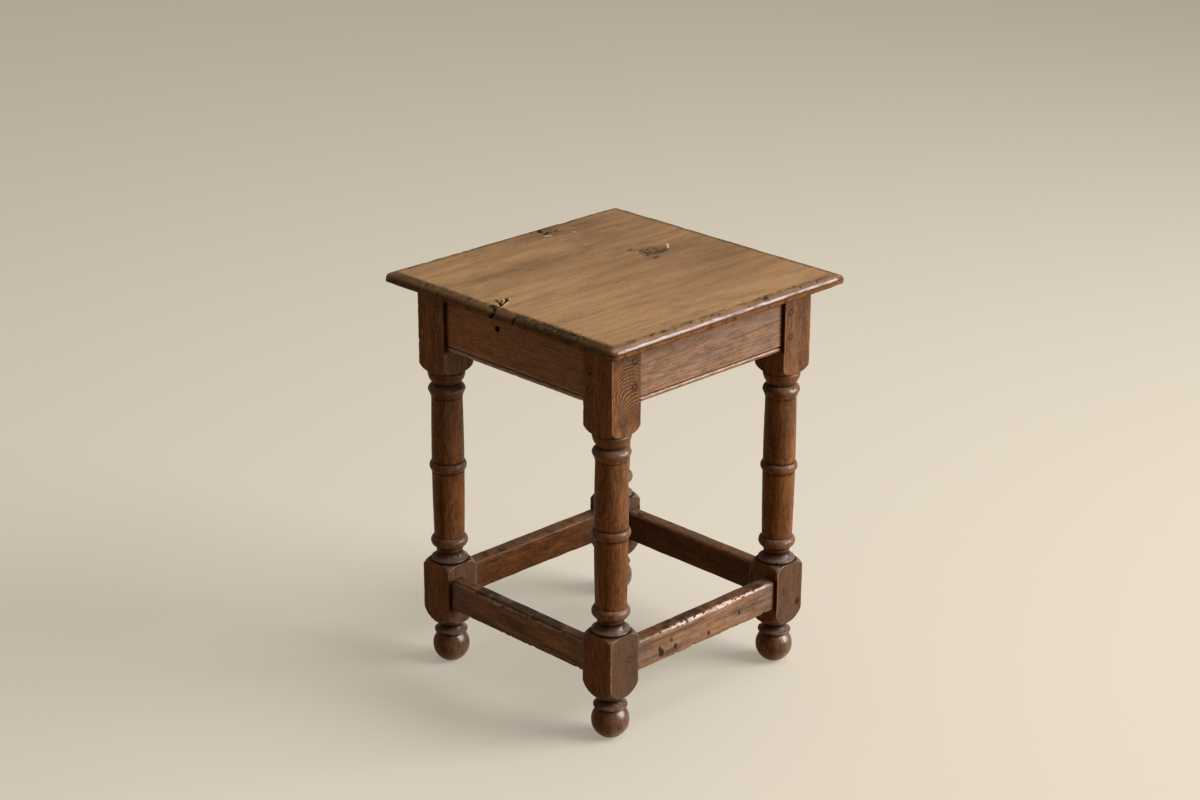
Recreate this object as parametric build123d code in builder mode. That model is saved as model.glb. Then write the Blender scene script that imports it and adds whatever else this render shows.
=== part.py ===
"""Joint stool: a moulded oak board on four turned legs, framed by rails and stretchers.

Units are millimetres.  +Z is up and the origin is on the floor under the middle of
the seat.  X runs along the seat board's grain.  The front of the stool is at -Y.
"""

import os
from math import sqrt

from build123d import *

# ---------------------------------------------------------------- driving sizes
stool_height = 530.0            # floor to the top of the seat
frame_length = 349.0            # outside the legs, along X
frame_depth = 342.0             # outside the legs, along Y

# seat board
seat_thickness = 14.0
seat_end_overhang = 27.0        # past the legs, at the end grain
seat_side_overhang = 29.0       # past the legs, at the long grain
thumb_width = 8.0               # how far the thumbnail moulding runs in
thumb_height = 9.0
thumb_quirk = 0.7               # the step that sets the moulding off from the flat
thumb_quirk_width = 0.9
thumb_bow = 2.75                # how far the moulding swells out of its chord
seat_under_round = 2.2          # radius on the lower arris of the board
seat_corner_wear = 6.0          # radius worn on the corners, seen from above
seat_corner_fade = 0.4          # that round would meet the edges this far outside them

# legs
leg_square = 49.0               # side of the square blocks
arris_wear = 0.9                # radius on the arrises of the blocks
turning_loss = 1.2              # what the lathe takes off the square at its fullest
upper_block = 113.5             # height of the block that takes the rails
upper_shoulder = 16.5           # height of the turned shoulder under it
upper_shoulder_depth = 2.2      # how far the shoulder's foot is cut in
lower_block = 91.0              # height of the block that takes the stretchers
lower_top_shoulder = 11.0       # turned shoulder above its square part
lower_foot_shoulder = 27.0      # turned shoulder below its square part
lower_shoulder_depth = 2.6
upper_shoulder_bow = 4.3        # how far each shoulder swells out of its chord
lower_top_bow = 3.0
lower_foot_bow = 4.35

# turned members: heights, depths of cut in from the fullest radius, and the bow of
# each arc out of its chord, below zero where it is hollow
foot_height = 53.0              # floor to the lower block
foot_flat = 12.0                # diameter of the worn flat under the ball
collar_rise = 42.5              # floor to the collar above the ball
collar_lip = 2.4
collar_depth = 2.5
collar_bow = -1.7               # slope from the collar up to the block
foot_neck_depth = 11.1
skirt_height = 12.0             # flared skirt that stands on the lower block
skirt_lip = 2.2
skirt_undercut = 0.9
skirt_bow = -1.5
neck_depth = 7.6                # the two narrow necks of the baluster
torus_rise = 7.0                # skirt to the torus above it
torus_height = 14.2
torus_seat_depth = 5.1          # where the torus meets neck and column
column_foot_depth = 4.4
column_waist_depth = 3.0        # the column is fullest at its middle bead
column_head_depth = 4.1
column_bow = 0.25               # swell of each half of the column
bead_height = 12.4              # middle bead
bead_fraction = 0.505           # its place on the column, from the foot
ring_height = 16.0              # sharp ring under the upper neck
ring_ledge = 1.6
ring_ledge_depth = 3.1
ring_crown = 8.6                # ring's foot to its widest line
ring_bow = 2.2
cup_height = 18.0
cup_bow = 1.5
cup_lip = 3.9
cup_lip_bow = 0.85

# rails and stretchers
setback = 5.0                   # behind the outer faces of the legs
rail_height = 79.0
rail_thickness = 22.0
rail_bead = 6.4                 # height of the scratched bead on the lower edge
rail_quirk = 1.3                # width of the groove above the bead
rail_quirk_depth = 2.2
old_hole_diameter = 6.5         # an empty hole, bored later in the left rail
old_hole_depth = 14.0
old_hole_offset = -30.4         # from the rail's middle, to the right from outside
old_hole_rise = 13.7            # above the rail's middle
stretcher_height = 41.0
stretcher_thickness = 22.0
stretcher_lift = 4.5            # above the foot of the lower block's square part
stretcher_worn_arris = 3.0      # radius trodden on the upper arrises
stretcher_low_arris = 1.0

# mortises, tenons and pegs
tenon_thickness = 8.0
tenon_web = 1.0                 # wood left between two tenons in one leg
rail_tenon_top = 12.0           # shoulder above the rail's tenon
rail_tenon_foot = 10.0          # shoulder below it
stretcher_tenon_edge = 5.5      # shoulder above and below the stretcher's tenon
peg_diameter = 7.5
peg_clearance = 0.05            # all round, in the bored hole
peg_proud = 0.4                 # how far the head stands out of the leg
peg_head_chamfer = 0.3
peg_web = 2.2                   # wood left between pegs that cross in one leg
rail_peg_inset = 11.0           # from the rail's shoulder to its pegs
stretcher_peg_inset = 15.0

# The holes were bored by hand, so each joint has its own heights: the middle of the
# pair above the rail's middle, and the distance between its two pegs.  The first
# pair of values is the left-hand joint, seen from outside the stool.
rail_pegs = {
    "front": ((1.0, 31.5), (-5.0, 32.0)),
    "right": ((0.5, 30.0), (-3.0, 28.0)),
    "back": ((2.0, 30.0), (-2.0, 31.0)),
    "left": ((2.0, 25.5), (-8.0, 24.0)),
}
# One peg in each joint of a stretcher: its height above the stretcher's middle.
stretcher_pegs = {
    "front": (4.0, 1.0),
    "right": (-1.0, 2.0),
    "back": (1.5, -2.0),
    "left": (2.0, -3.0),
}

# ---------------------------------------------------------------- derived sizes
leg_x = (frame_length - leg_square) / 2          # leg axes
leg_y = (frame_depth - leg_square) / 2
leg_height = stool_height - seat_thickness
seat_length = frame_length + 2 * seat_end_overhang
seat_depth = frame_depth + 2 * seat_side_overhang

full_radius = (leg_square - turning_loss) / 2
swing_radius = leg_square / sqrt(2) + arris_wear  # clears the arrises of the blocks
ball_drop = full_radius - sqrt(full_radius**2 - (foot_flat / 2)**2)
ball_centre = full_radius - ball_drop

block_foot = foot_height
square_foot = block_foot + lower_foot_shoulder
square_head = block_foot + lower_block - lower_top_shoulder
block_head = block_foot + lower_block
skirt_head = block_head + skirt_height
torus_foot = skirt_head + torus_rise
column_foot = torus_foot + torus_height
cup_head = leg_height - upper_block
cup_foot = cup_head - cup_height
ring_foot = cup_foot - ring_height
bead_middle = column_foot + bead_fraction * (ring_foot - column_foot)

rail_foot = leg_height - rail_height
stretcher_foot = square_foot + stretcher_lift
tenon_depth = leg_square - setback - rail_thickness / 2 - tenon_thickness / 2 - tenon_web
hole_diameter = peg_diameter + 2 * peg_clearance

OUTWARD = {
    "front": Vector(0, -1, 0),
    "right": Vector(1, 0, 0),
    "back": Vector(0, 1, 0),
    "left": Vector(-1, 0, 0),
}
UP = Vector(0, 0, 1)


def along(side):
    """Direction of a side's length, to the right when it is seen from outside."""
    return UP.cross(OUTWARD[side])


def axis_span(side):
    """Distance between the axes of the two legs that a side joins."""
    return 2 * (leg_x if side in ("front", "back") else leg_y)


def face_plane(side):
    """Plane of the legs' outer faces on one side: x along the side, y up, z outward."""
    reach = frame_depth / 2 if side in ("front", "back") else frame_length / 2
    return Plane(origin=OUTWARD[side] * reach, x_dir=along(side), z_dir=OUTWARD[side])


def section_plane(side, foot):
    """Plane across a side's middle: x inward from the set-back face, y up from foot."""
    face = face_plane(side)
    origin = face.origin - OUTWARD[side] * setback + UP * foot
    return Plane(origin=origin, x_dir=-OUTWARD[side], z_dir=along(side))


def peg_reach(inset):
    """Depth of a peg hole that stops short of the holes bored from the next face."""
    return leg_square - inset - hole_diameter / 2 - peg_web


def rail_peg_spots(side):
    """Places of a rail's four pegs on its face plane."""
    reach = axis_span(side) / 2 - leg_square / 2 + rail_peg_inset
    middle = rail_foot + rail_height / 2
    spots = []
    for end, (rise, spread) in zip((-1, 1), rail_pegs[side]):
        spots.append((end * reach, middle + rise - spread / 2))
        spots.append((end * reach, middle + rise + spread / 2))
    return spots


def stretcher_peg_spots(side):
    """Places of a stretcher's two pegs on its face plane."""
    reach = axis_span(side) / 2 - leg_square / 2 + stretcher_peg_inset
    middle = stretcher_foot + stretcher_height / 2
    return [(end * reach, middle + rise) for end, rise in zip((-1, 1), stretcher_pegs[side])]


def circles(diameter, spots):
    """Equal circles at the given places of the sketch being drawn."""
    with Locations(*spots):
        Circle(diameter / 2)


def rail_tenon():
    """Section of a rail's tenon, drawn on the rail's section plane."""
    height = rail_height - rail_tenon_top - rail_tenon_foot
    with Locations((rail_thickness / 2, rail_tenon_foot + height / 2)):
        Rectangle(tenon_thickness, height)


def stretcher_tenon():
    """Section of a stretcher's tenon, drawn on the stretcher's section plane."""
    with Locations((stretcher_thickness / 2, stretcher_height / 2)):
        Rectangle(tenon_thickness, stretcher_height - 2 * stretcher_tenon_edge)


def bowed(start, end, bow):
    """Arc whose middle stands out to the right of its chord by bow."""
    SagittaArc(start, end, -bow)


def turned_outline():
    """Half outline of the leg as the lathe leaves it: x is the radius, y the height."""
    full = full_radius
    foot_neck = full - foot_neck_depth
    neck = full - neck_depth

    # ball foot, and the collar above it with its hollow slope
    collar = full - collar_depth
    collar_edge = collar_rise + collar_lip
    under_collar = sqrt(full**2 - (collar_rise - ball_centre)**2)
    Line((0, 0), (foot_flat / 2, 0))
    ThreePointArc((foot_flat / 2, 0), (full, ball_centre), (under_collar, collar_rise))
    Line((under_collar, collar_rise), (collar, collar_rise))
    Line((collar, collar_rise), (collar, collar_edge))
    bowed((collar, collar_edge), (foot_neck, block_foot), collar_bow)

    # lower block: turned shoulder, square part, turned shoulder
    shoulder_foot = full - lower_shoulder_depth
    bowed((foot_neck, block_foot), (swing_radius, square_foot), lower_foot_bow)
    Line((swing_radius, square_foot), (swing_radius, square_head))
    bowed((swing_radius, square_head), (shoulder_foot, block_head), lower_top_bow)

    # flared skirt, neck and torus
    skirt_edge = block_head + skirt_undercut
    skirt_top = skirt_edge + skirt_lip
    torus_seat = full - torus_seat_depth
    Line((shoulder_foot, block_head), (shoulder_foot, skirt_edge))
    Line((shoulder_foot, skirt_edge), (full, skirt_edge))
    Line((full, skirt_edge), (full, skirt_top))
    bowed((full, skirt_top), (neck, skirt_head), skirt_bow)
    Line((neck, skirt_head), (torus_seat, torus_foot))
    bowed((torus_seat, torus_foot), (torus_seat, column_foot), torus_seat_depth)

    # column in two swelling halves, with the bead between them
    column_low = full - column_foot_depth
    column_high = full - column_head_depth
    waist = full - column_waist_depth
    bead_foot = bead_middle - bead_height / 2
    bead_head = bead_middle + bead_height / 2
    Line((torus_seat, column_foot), (column_low, column_foot))
    bowed((column_low, column_foot), (waist, bead_foot), column_bow)
    bowed((waist, bead_foot), (waist, bead_head), column_waist_depth)
    bowed((waist, bead_head), (column_high, ring_foot), column_bow)

    # ring with its ledge, neck and cup
    ledge = full - ring_ledge_depth
    ring_edge = ring_foot + ring_ledge
    ring_crest = ring_foot + ring_crown
    cup_edge = cup_head - cup_lip
    cup_top = full - upper_shoulder_depth
    Line((column_high, ring_foot), (ledge, ring_foot))
    Line((ledge, ring_foot), (ledge, ring_edge))
    Line((ledge, ring_edge), (full, ring_crest))
    bowed((full, ring_crest), (neck, cup_foot), ring_bow)
    bowed((neck, cup_foot), (full, cup_edge), cup_bow)
    bowed((full, cup_edge), (cup_top, cup_head), cup_lip_bow)

    # shoulder of the upper block, and the block itself
    shoulder_head = cup_head + upper_shoulder
    bowed((cup_top, cup_head), (swing_radius, shoulder_head), upper_shoulder_bow)
    Line((swing_radius, shoulder_head), (swing_radius, leg_height))
    Line((swing_radius, leg_height), (0, leg_height))
    Line((0, leg_height), (0, 0))


def make_leg(side_x, side_y):
    """One leg at its corner, mortised and bored for the two sides that meet there."""
    axis = Vector(side_x * leg_x, side_y * leg_y, 0)
    # each of its two sides, and which end of that side the leg stands at
    corner = {
        "front" if side_y < 0 else "back": side_x * (1 if side_y < 0 else -1),
        "left" if side_x < 0 else "right": side_y * (-1 if side_x < 0 else 1),
    }
    with BuildPart() as leg:
        with BuildSketch(Plane(origin=axis)):
            RectangleRounded(leg_square, leg_square, arris_wear)
        extrude(amount=leg_height)
        with BuildSketch(Plane(origin=axis, x_dir=(1, 0, 0), z_dir=(0, -1, 0))):
            with BuildLine():
                turned_outline()
            make_face()
        revolve(axis=Axis(axis, UP), mode=Mode.INTERSECT)
        for side, end in corner.items():
            reach = end * (axis_span(side) / 2 - leg_square / 2 + tenon_depth)
            with BuildSketch(section_plane(side, rail_foot)):
                rail_tenon()
            extrude(amount=reach, mode=Mode.SUBTRACT)
            with BuildSketch(section_plane(side, stretcher_foot)):
                stretcher_tenon()
            extrude(amount=reach, mode=Mode.SUBTRACT)
            with BuildSketch(face_plane(side)):
                circles(hole_diameter, rail_peg_spots(side))
            extrude(amount=-peg_reach(rail_peg_inset), mode=Mode.SUBTRACT)
            with BuildSketch(face_plane(side)):
                circles(hole_diameter, stretcher_peg_spots(side))
            extrude(amount=-peg_reach(stretcher_peg_inset), mode=Mode.SUBTRACT)
    return leg


def make_rail(side):
    """One frieze rail: bead on its lower edge, a tenon at each end, a hole in the left one."""
    half = axis_span(side) / 2 - leg_square / 2
    quirk_top = rail_bead + rail_quirk
    with BuildPart() as rail:
        with BuildSketch(section_plane(side, rail_foot)):
            with BuildLine():
                Polyline(
                    (0, quirk_top),
                    (0, rail_height),
                    (rail_thickness, rail_height),
                    (rail_thickness, 0),
                    (rail_quirk_depth, 0),
                )
                SagittaArc((rail_quirk_depth, 0), (rail_quirk_depth, rail_bead), rail_quirk_depth)
                Polyline((rail_quirk_depth, rail_bead), (rail_quirk_depth, quirk_top), (0, quirk_top))
            make_face()
        extrude(amount=half, both=True)
        with BuildSketch(section_plane(side, rail_foot)):
            rail_tenon()
        extrude(amount=half + tenon_depth, both=True)
        with BuildSketch(face_plane(side)):
            circles(hole_diameter, rail_peg_spots(side))
        extrude(amount=-peg_reach(rail_peg_inset), mode=Mode.SUBTRACT)
        if side == "left":
            rise = rail_foot + rail_height / 2 + old_hole_rise
            with BuildSketch(face_plane(side)):
                circles(old_hole_diameter, [(old_hole_offset, rise)])
            extrude(amount=-(setback + old_hole_depth), mode=Mode.SUBTRACT)
    return rail


def make_stretcher(side):
    """One stretcher, its upper arrises trodden round, with a tenon at each end."""
    half = axis_span(side) / 2 - leg_square / 2
    with BuildPart() as stretcher:
        with BuildSketch(section_plane(side, stretcher_foot)) as section:
            Rectangle(stretcher_thickness, stretcher_height, align=(Align.MIN, Align.MIN))
            upper = section.vertices().group_by(Axis.Y)[-1]
            fillet(upper, stretcher_worn_arris)
            lower = section.vertices().group_by(Axis.Y)[0]
            fillet(lower, stretcher_low_arris)
        extrude(amount=half, both=True)
        with BuildSketch(section_plane(side, stretcher_foot)):
            stretcher_tenon()
        extrude(amount=half + tenon_depth, both=True)
        with BuildSketch(face_plane(side)):
            circles(hole_diameter, stretcher_peg_spots(side))
        extrude(amount=-peg_reach(stretcher_peg_inset), mode=Mode.SUBTRACT)
    return stretcher


def make_pegs(side, spots, inset):
    """The pegs of one side: separate solids that fill their holes to the bottom."""
    with BuildPart() as pegs:
        with BuildSketch(face_plane(side).offset(peg_proud)):
            circles(peg_diameter, spots)
        extrude(amount=-(peg_reach(inset) + peg_proud))
        outward = Axis((0, 0, 0), OUTWARD[side])
        heads = pegs.faces().filter_by(GeomType.PLANE).group_by(outward)[-1]
        chamfer(heads.edges(), peg_head_chamfer)
    return pegs


def seat_section(half_width):
    """Section across the seat board: flat top, thumbnail moulded edges, rounded lower arrises."""
    quirk = seat_thickness - thumb_quirk
    thumb_start = half_width - thumb_width
    flat = thumb_start - thumb_quirk_width
    thumb_foot = quirk - thumb_height
    round_drop = seat_under_round * (1 - 1 / sqrt(2))
    Line((0, seat_thickness), (flat, seat_thickness))
    Line((flat, seat_thickness), (thumb_start, quirk))
    SagittaArc((thumb_start, quirk), (half_width, thumb_foot), thumb_bow)
    Line((half_width, thumb_foot), (half_width, seat_under_round))
    ThreePointArc(
        (half_width, seat_under_round),
        (half_width - round_drop, round_drop),
        (half_width - seat_under_round, 0),
    )
    Line((half_width - seat_under_round, 0), (0, 0))
    mirror(about=Plane.YZ)


# ---------------------------------------------------------------- the pieces
os.makedirs("parts", exist_ok=True)

# seat board: the moulding runs all round, mitred at the corners, which are worn round
with BuildPart() as seat:
    with BuildSketch(Plane(origin=(0, 0, leg_height), x_dir=(1, 0, 0), z_dir=(0, -1, 0))):
        with BuildLine():
            seat_section(seat_length / 2)
        make_face()
    extrude(amount=seat_depth / 2, both=True)
    with BuildSketch(Plane(origin=(0, 0, leg_height), x_dir=(0, 1, 0), z_dir=(1, 0, 0))):
        with BuildLine():
            seat_section(seat_depth / 2)
        make_face()
    extrude(amount=seat_length / 2, both=True, mode=Mode.INTERSECT)
    with BuildSketch(Plane.XY.offset(leg_height)):
        worn_length = seat_length + 2 * seat_corner_fade
        worn_depth = seat_depth + 2 * seat_corner_fade
        RectangleRounded(worn_length, worn_depth, seat_corner_wear)
    extrude(amount=seat_thickness, mode=Mode.INTERSECT)
seat.part.label = "seat_board"
export_step(seat.part, "parts/seat_board.step")

# legs
for row, side_y in (("front", -1), ("back", 1)):
    for hand, side_x in (("left", -1), ("right", 1)):
        leg = make_leg(side_x, side_y)
        leg.part.label = f"leg_{row}_{hand}"
        export_step(leg.part, f"parts/{leg.part.label}.step")

# rails, stretchers and the pegs that lock their tenons
for side in OUTWARD:
    rail = make_rail(side)
    rail.part.label = f"rail_{side}"
    export_step(rail.part, f"parts/{rail.part.label}.step")

    stretcher = make_stretcher(side)
    stretcher.part.label = f"stretcher_{side}"
    export_step(stretcher.part, f"parts/{stretcher.part.label}.step")

    pegs = make_pegs(side, rail_peg_spots(side), rail_peg_inset)
    pegs.part.label = f"rail_pegs_{side}"
    export_step(pegs.part, f"parts/{pegs.part.label}.step")

    pegs = make_pegs(side, stretcher_peg_spots(side), stretcher_peg_inset)
    pegs.part.label = f"stretcher_pegs_{side}"
    export_step(pegs.part, f"parts/{pegs.part.label}.step")
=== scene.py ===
"""Joint stool, dressed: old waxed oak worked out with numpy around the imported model.

The maths is in millimetres and the meshes are in metres.  +Z is up, +X runs along the
grain of the seat board, and the front of the stool is at -Y.
"""

import functools
import math
import types

import bpy
import numpy as np
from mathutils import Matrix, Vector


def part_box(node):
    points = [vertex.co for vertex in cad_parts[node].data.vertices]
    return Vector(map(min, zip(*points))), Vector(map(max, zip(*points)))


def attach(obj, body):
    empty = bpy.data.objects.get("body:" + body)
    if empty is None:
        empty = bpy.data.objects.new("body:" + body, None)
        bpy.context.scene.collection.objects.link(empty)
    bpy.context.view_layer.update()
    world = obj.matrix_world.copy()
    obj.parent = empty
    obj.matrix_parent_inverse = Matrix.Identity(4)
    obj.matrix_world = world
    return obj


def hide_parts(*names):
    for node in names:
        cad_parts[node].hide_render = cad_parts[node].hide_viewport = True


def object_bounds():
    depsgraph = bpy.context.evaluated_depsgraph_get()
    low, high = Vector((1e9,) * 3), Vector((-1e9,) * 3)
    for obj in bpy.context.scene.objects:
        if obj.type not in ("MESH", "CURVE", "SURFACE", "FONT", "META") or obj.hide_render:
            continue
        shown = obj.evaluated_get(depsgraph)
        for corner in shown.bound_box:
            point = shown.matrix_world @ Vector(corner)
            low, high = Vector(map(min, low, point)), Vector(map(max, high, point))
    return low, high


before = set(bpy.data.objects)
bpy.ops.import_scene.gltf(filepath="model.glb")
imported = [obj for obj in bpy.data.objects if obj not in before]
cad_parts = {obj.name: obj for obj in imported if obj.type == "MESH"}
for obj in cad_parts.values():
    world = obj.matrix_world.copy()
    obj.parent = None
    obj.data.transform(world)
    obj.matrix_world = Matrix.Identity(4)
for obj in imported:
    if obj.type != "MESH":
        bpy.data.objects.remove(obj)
CAD_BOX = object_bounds()

bl_info = {
    "name": "Joint stool",
    "version": (1, 0, 0),
    "blender": (4, 5, 0),
    "location": "3D View > Sidebar > Stool",
    "description": "Dresses the packed joint stool in worn, waxed oak",
    "category": "Object",
}

MM = 0.001
OUTWARD = {
    "front": np.array((0.0, -1.0, 0.0)),
    "right": np.array((1.0, 0.0, 0.0)),
    "back": np.array((0.0, 1.0, 0.0)),
    "left": np.array((-1.0, 0.0, 0.0)),
}
UP = np.array((0.0, 0.0, 1.0))
KEY_LAMP_SIDE = np.array((0.5, -0.85))  # the side towards the key lamp: the wax shines most there, and marks paint in the lamp's light


# ------------------------------------------------------------------ user's settings
def linear(srgb_hex):
    """Linear colour of an sRGB hex value such as #6A4426."""
    parts = [int(srgb_hex[i:i + 2], 16) / 255 for i in (1, 3, 5)]
    return tuple(p / 12.92 if p <= 0.04045 else ((p + 0.055) / 1.055) ** 2.4 for p in parts)


def length(name, millimetres, description):
    """A length property whose default is given in millimetres."""
    return bpy.props.FloatProperty(
        name=name, description=description, default=millimetres * MM,
        subtype="DISTANCE", unit="LENGTH", precision=4,
    )


def tint(name, srgb_hex, description):
    """A colour property whose default is given as an sRGB hex value."""
    return bpy.props.FloatVectorProperty(
        name=name, description=description, default=linear(srgb_hex),
        subtype="COLOR", size=3, min=0.0, max=1.0,
    )


def turn(name, degrees, description):
    """An angle property whose default is given in degrees."""
    return bpy.props.FloatProperty(
        name=name, description=description, default=math.radians(degrees),
        subtype="ANGLE", unit="ROTATION",
    )


def level(name, share, description):
    """A light level, as a share of what shows a white surface as pure white."""
    return bpy.props.FloatProperty(
        name=name, description=description, default=share, min=0.0, max=4.0, subtype="FACTOR",
    )


class StoolSizes(bpy.types.PropertyGroup):
    """Sizes of the joiner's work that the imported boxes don't give, and of its wear."""

    thumb_width: length("Moulding width", 7.2, "How far the thumbnail moulding runs in from the edge")
    thumb_height: length("Moulding height", 6.6, "Drop of the thumbnail moulding")
    thumb_bow: length("Moulding bow", 1.6, "How far the moulding swells out of its chord")
    quirk: length("Moulding quirk", 0.7, "Step that sets the moulding off from the flat of the board")
    quirk_width: length("Quirk width", 0.9, "Width of that step")
    under_round: length("Lower arris", 2.2, "Radius on the lower arris of the board")
    corner_wear: length("Corner wear", 2.4, "Radius worn on the board's corners, seen from above")
    arris_wear: length("Arris wear", 1.1, "Radius on the arrises of the square blocks")
    edge_wear: length("Edge wear", 0.4, "Half width of the wear that rounds each turned and scratched edge")
    tenon_depth: length("Tenon length", 28.0, "How far the tenons reach into the legs")
    tenon_thickness: length("Tenon thickness", 8.0, "Thickness of the tenons")
    rail_bead: length("Rail bead", 6.4, "Height of the bead on the lower edge of the rails")
    rail_quirk: length("Rail quirk", 1.3, "Width of the groove above the bead")
    rail_quirk_depth: length("Rail quirk depth", 2.2, "Depth of the groove above the bead")
    tread_wear: length("Tread wear", 5.0, "Radius that feet have worn on the stretchers' upper arrises")
    peg_diameter: length("Peg diameter", 7.5, "Diameter of the pegs")
    hole_diameter: length("Old hole", 6.5, "Diameter of the empty hole in the left rail")


class StoolFinish(bpy.types.PropertyGroup):
    """Colours of the old oak."""

    frame_dark: tint("Frame, dark", "#36200F", "Darkest tone of the waxed frame")
    frame_mid: tint("Frame, middle", "#744324", "Main tone of the waxed frame")
    # Painted sheen: this milky colour stands in for the key lamp's sheen on the faces towards it, and is
    # laid thinly elsewhere as bloom.
    frame_pale: tint("Frame, pale", "#A0826F", "Milky brown bloom on the rails and stretchers")
    # Also laid as painted light: orange on the columns' side towards the key lamp, and a light line along
    # the blocks' crests that is partly a painted highlight.
    frame_worn: tint("Frame, worn", "#B4773C", "Orange-brown oak where the finish is rubbed thin")
    ray_fleck: tint("Ray fleck", "#BF8856", "Medullary rays where the oak is cut across them")
    pore: tint("Pore", "#22120A", "Dark wax in the open pores")
    seat_dark: tint("Seat, dark", "#624A36", "Darker streaks of the seat board")
    seat_mid: tint("Seat, middle", "#8D6B4B", "Main tone of the seat board")
    seat_light: tint("Seat, light", "#AB855E", "Paler streaks of the seat board")
    end_grain: tint("Seat, end grain", "#654A2B", "Dull olive-brown end grain of the seat board")
    bare: tint("Bare wood", "#CFAE84", "Pale torn wood beside worm holes and splinters")
    # Also painted sheen: laid grey on the low blocks' faces towards the key lamp.
    dust: tint("Dust", "#6C5F57", "Grey dust that lies on ledges under the wax")
    # Besides black grime, this colour paints shade: beside the rails and stretchers on the legs, under the
    # lips of the skirts and collars, and along the foot of the seat board's edge.
    grime: tint("Grime", "#170D07", "Black grime in hollows, cracks and joints")
    peg: tint("Peg", "#584A43", "Dark end grain of the pegs")
    floor: tint("Floor", "#D9CFBE", "Plain pale floor")
    floor_bounce: tint("Floor, thrown light", "#9A8464", "Colour of the light that the floor throws back")


class StoolStudio(bpy.types.PropertyGroup):
    """Camera and lights."""

    azimuth: turn("Azimuth", -44.7018, "Where the camera stands round the stool; 0 looks along +Y")
    pitch: turn("Pitch", 21.1895, "How far the camera looks down")
    roll: turn("Roll", 0.2026, "Turn of the camera about its own line of sight")
    distance: length("Distance", 3378.43, "From the camera to the point it looks at")
    shift_right: length("Aim, across", -17.5356, "From the stool's middle to that point, rightwards")
    shift_up: length("Aim, up", 89.5215, "From the stool's middle to that point, upwards")
    focal_length: bpy.props.FloatProperty(
        name="Focal length", description="Lens in millimetres on a sensor 36 mm wide", default=79.86,
        subtype="DISTANCE_CAMERA", unit="CAMERA",
    )
    key: level("Key lamp", 1.5, "Light of the large soft lamp at the front right")
    overhead: level("Overhead lamp", 0.45, "Light of the soft lamp over the stool")
    room: level("Room light", 0.2, "Strength of the even light from all round")
    backdrop: level("Backdrop", 0.6, "How bright the pale backdrop shows in reflections; 1 is white")
    room_tint: tint("Room, colour", "#FFF2E0", "Warm white of the light from all round")
    backdrop_tint: tint("Backdrop, colour", "#EEE6D8", "Pale cream of the backdrop")


def sizes_in_mm():
    """The lengths of StoolSizes, in millimetres."""
    group = bpy.context.scene.stool_sizes
    return types.SimpleNamespace(**{name: getattr(group, name) / MM for name in StoolSizes.__annotations__})


# ------------------------------------------------------------------ numpy tools
def node_box(name):
    """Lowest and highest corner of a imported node, in millimetres."""
    low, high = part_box(name)
    return np.array(low) / MM, np.array(high) / MM


def hashed(cells, seed):
    """A random number from 0 to 1 for each cell of a lattice, the same on every run."""
    mixed = (cells @ np.array((73856093, 19349663, 83492791), np.int64) + seed * 40503) & 0xFFFFFFFF
    mixed = (mixed ^ (mixed >> 15)) * 0x2C1B3C6D & 0xFFFFFFFF
    mixed = (mixed ^ (mixed >> 12)) * 0x297A2D39 & 0xFFFFFFFF
    return (mixed ^ (mixed >> 15)) / 0xFFFFFFFF


def noise(points, cell, seed):
    """Smooth noise from -1 to 1: random values at the corners of boxes of the size cell,
    with s*s*(3 - 2*s) easing from one to the next."""
    scaled = points / np.asarray(cell, float)
    base = np.floor(scaled).astype(np.int64)
    part = scaled - base
    ease = part * part * (3 - 2 * part)
    total = 0.0
    for corner in np.ndindex(2, 2, 2):
        share = np.where(corner, ease, 1 - ease).prod(axis=-1)
        total = total + share * hashed(base + corner, seed)
    return 2 * total - 1


def rough(points, cell, seed, octaves=3):
    """Noise with finer noise on it: each octave is half the size and half the height."""
    cell = np.asarray(cell, float)
    total = sum(noise(points, cell / 2**i, seed + i) / 2**i for i in range(octaves))
    return total / (2 - 2 ** (1 - octaves))


def growth(points, pith, grain, spacing, seed):
    """Number of the yearly ring at each point: its distance from the pith, a line through
    the point pith along grain, over the spacing of the rings, with slow waves added."""
    grain = np.asarray(grain, float)
    grain = grain / np.linalg.norm(grain)
    offset = points - pith
    away = np.linalg.norm(offset - (offset @ grain)[..., None] * grain, axis=-1)
    cell = 14 + 90 * np.abs(grain)
    return away / spacing + 0.9 * noise(points, cell, seed) + 0.35 * noise(points, cell / 3, seed + 1)


def patches(points, cell, seed, octaves=3):
    """rough() brought to the span from 0 to 1."""
    return 0.5 + 0.5 * rough(points, cell, seed, octaves)


def eased(low, high, value):
    """0 below low, 1 above high, and s*s*(3 - 2*s) between."""
    s = np.clip((value - low) / (high - low), 0, 1)
    return s * s * (3 - 2 * s)


def fading(low, high, value):
    """1 below low, 0 above high, and eased between."""
    return 1 - eased(low, high, value)


def most(*parts):
    """The largest of several arrays, place by place."""
    return functools.reduce(np.maximum, parts)


def bell(distance, reach):
    """exp(-(distance / reach)^2)."""
    return np.exp(-((distance / reach) ** 2))


def from_line(x, y, start, end):
    """Distance in the plane from (x, y) to the line between two points: to the point of it
    whose share of the way, (p - start) . way / way^2, is kept within 0 and 1."""
    way = np.subtract(end, start)
    share = np.clip(((x - start[0]) * way[0] + (y - start[1]) * way[1]) / (way @ way), 0, 1)
    return np.hypot(x - start[0] - share * way[0], y - start[1] - share * way[1])


def crowd(start, end, count, places=()):
    """count numbers from start to end that crowd together: the lines per millimetre are
    one plus a bell of the given weight at each place (place, reach, weight)."""
    fine = np.linspace(start, end, 4001)
    density = 1 + sum(weight * bell(fine - place, reach) for place, reach, weight in places)
    return spread(fine, density * np.ones_like(fine), count)


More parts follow.
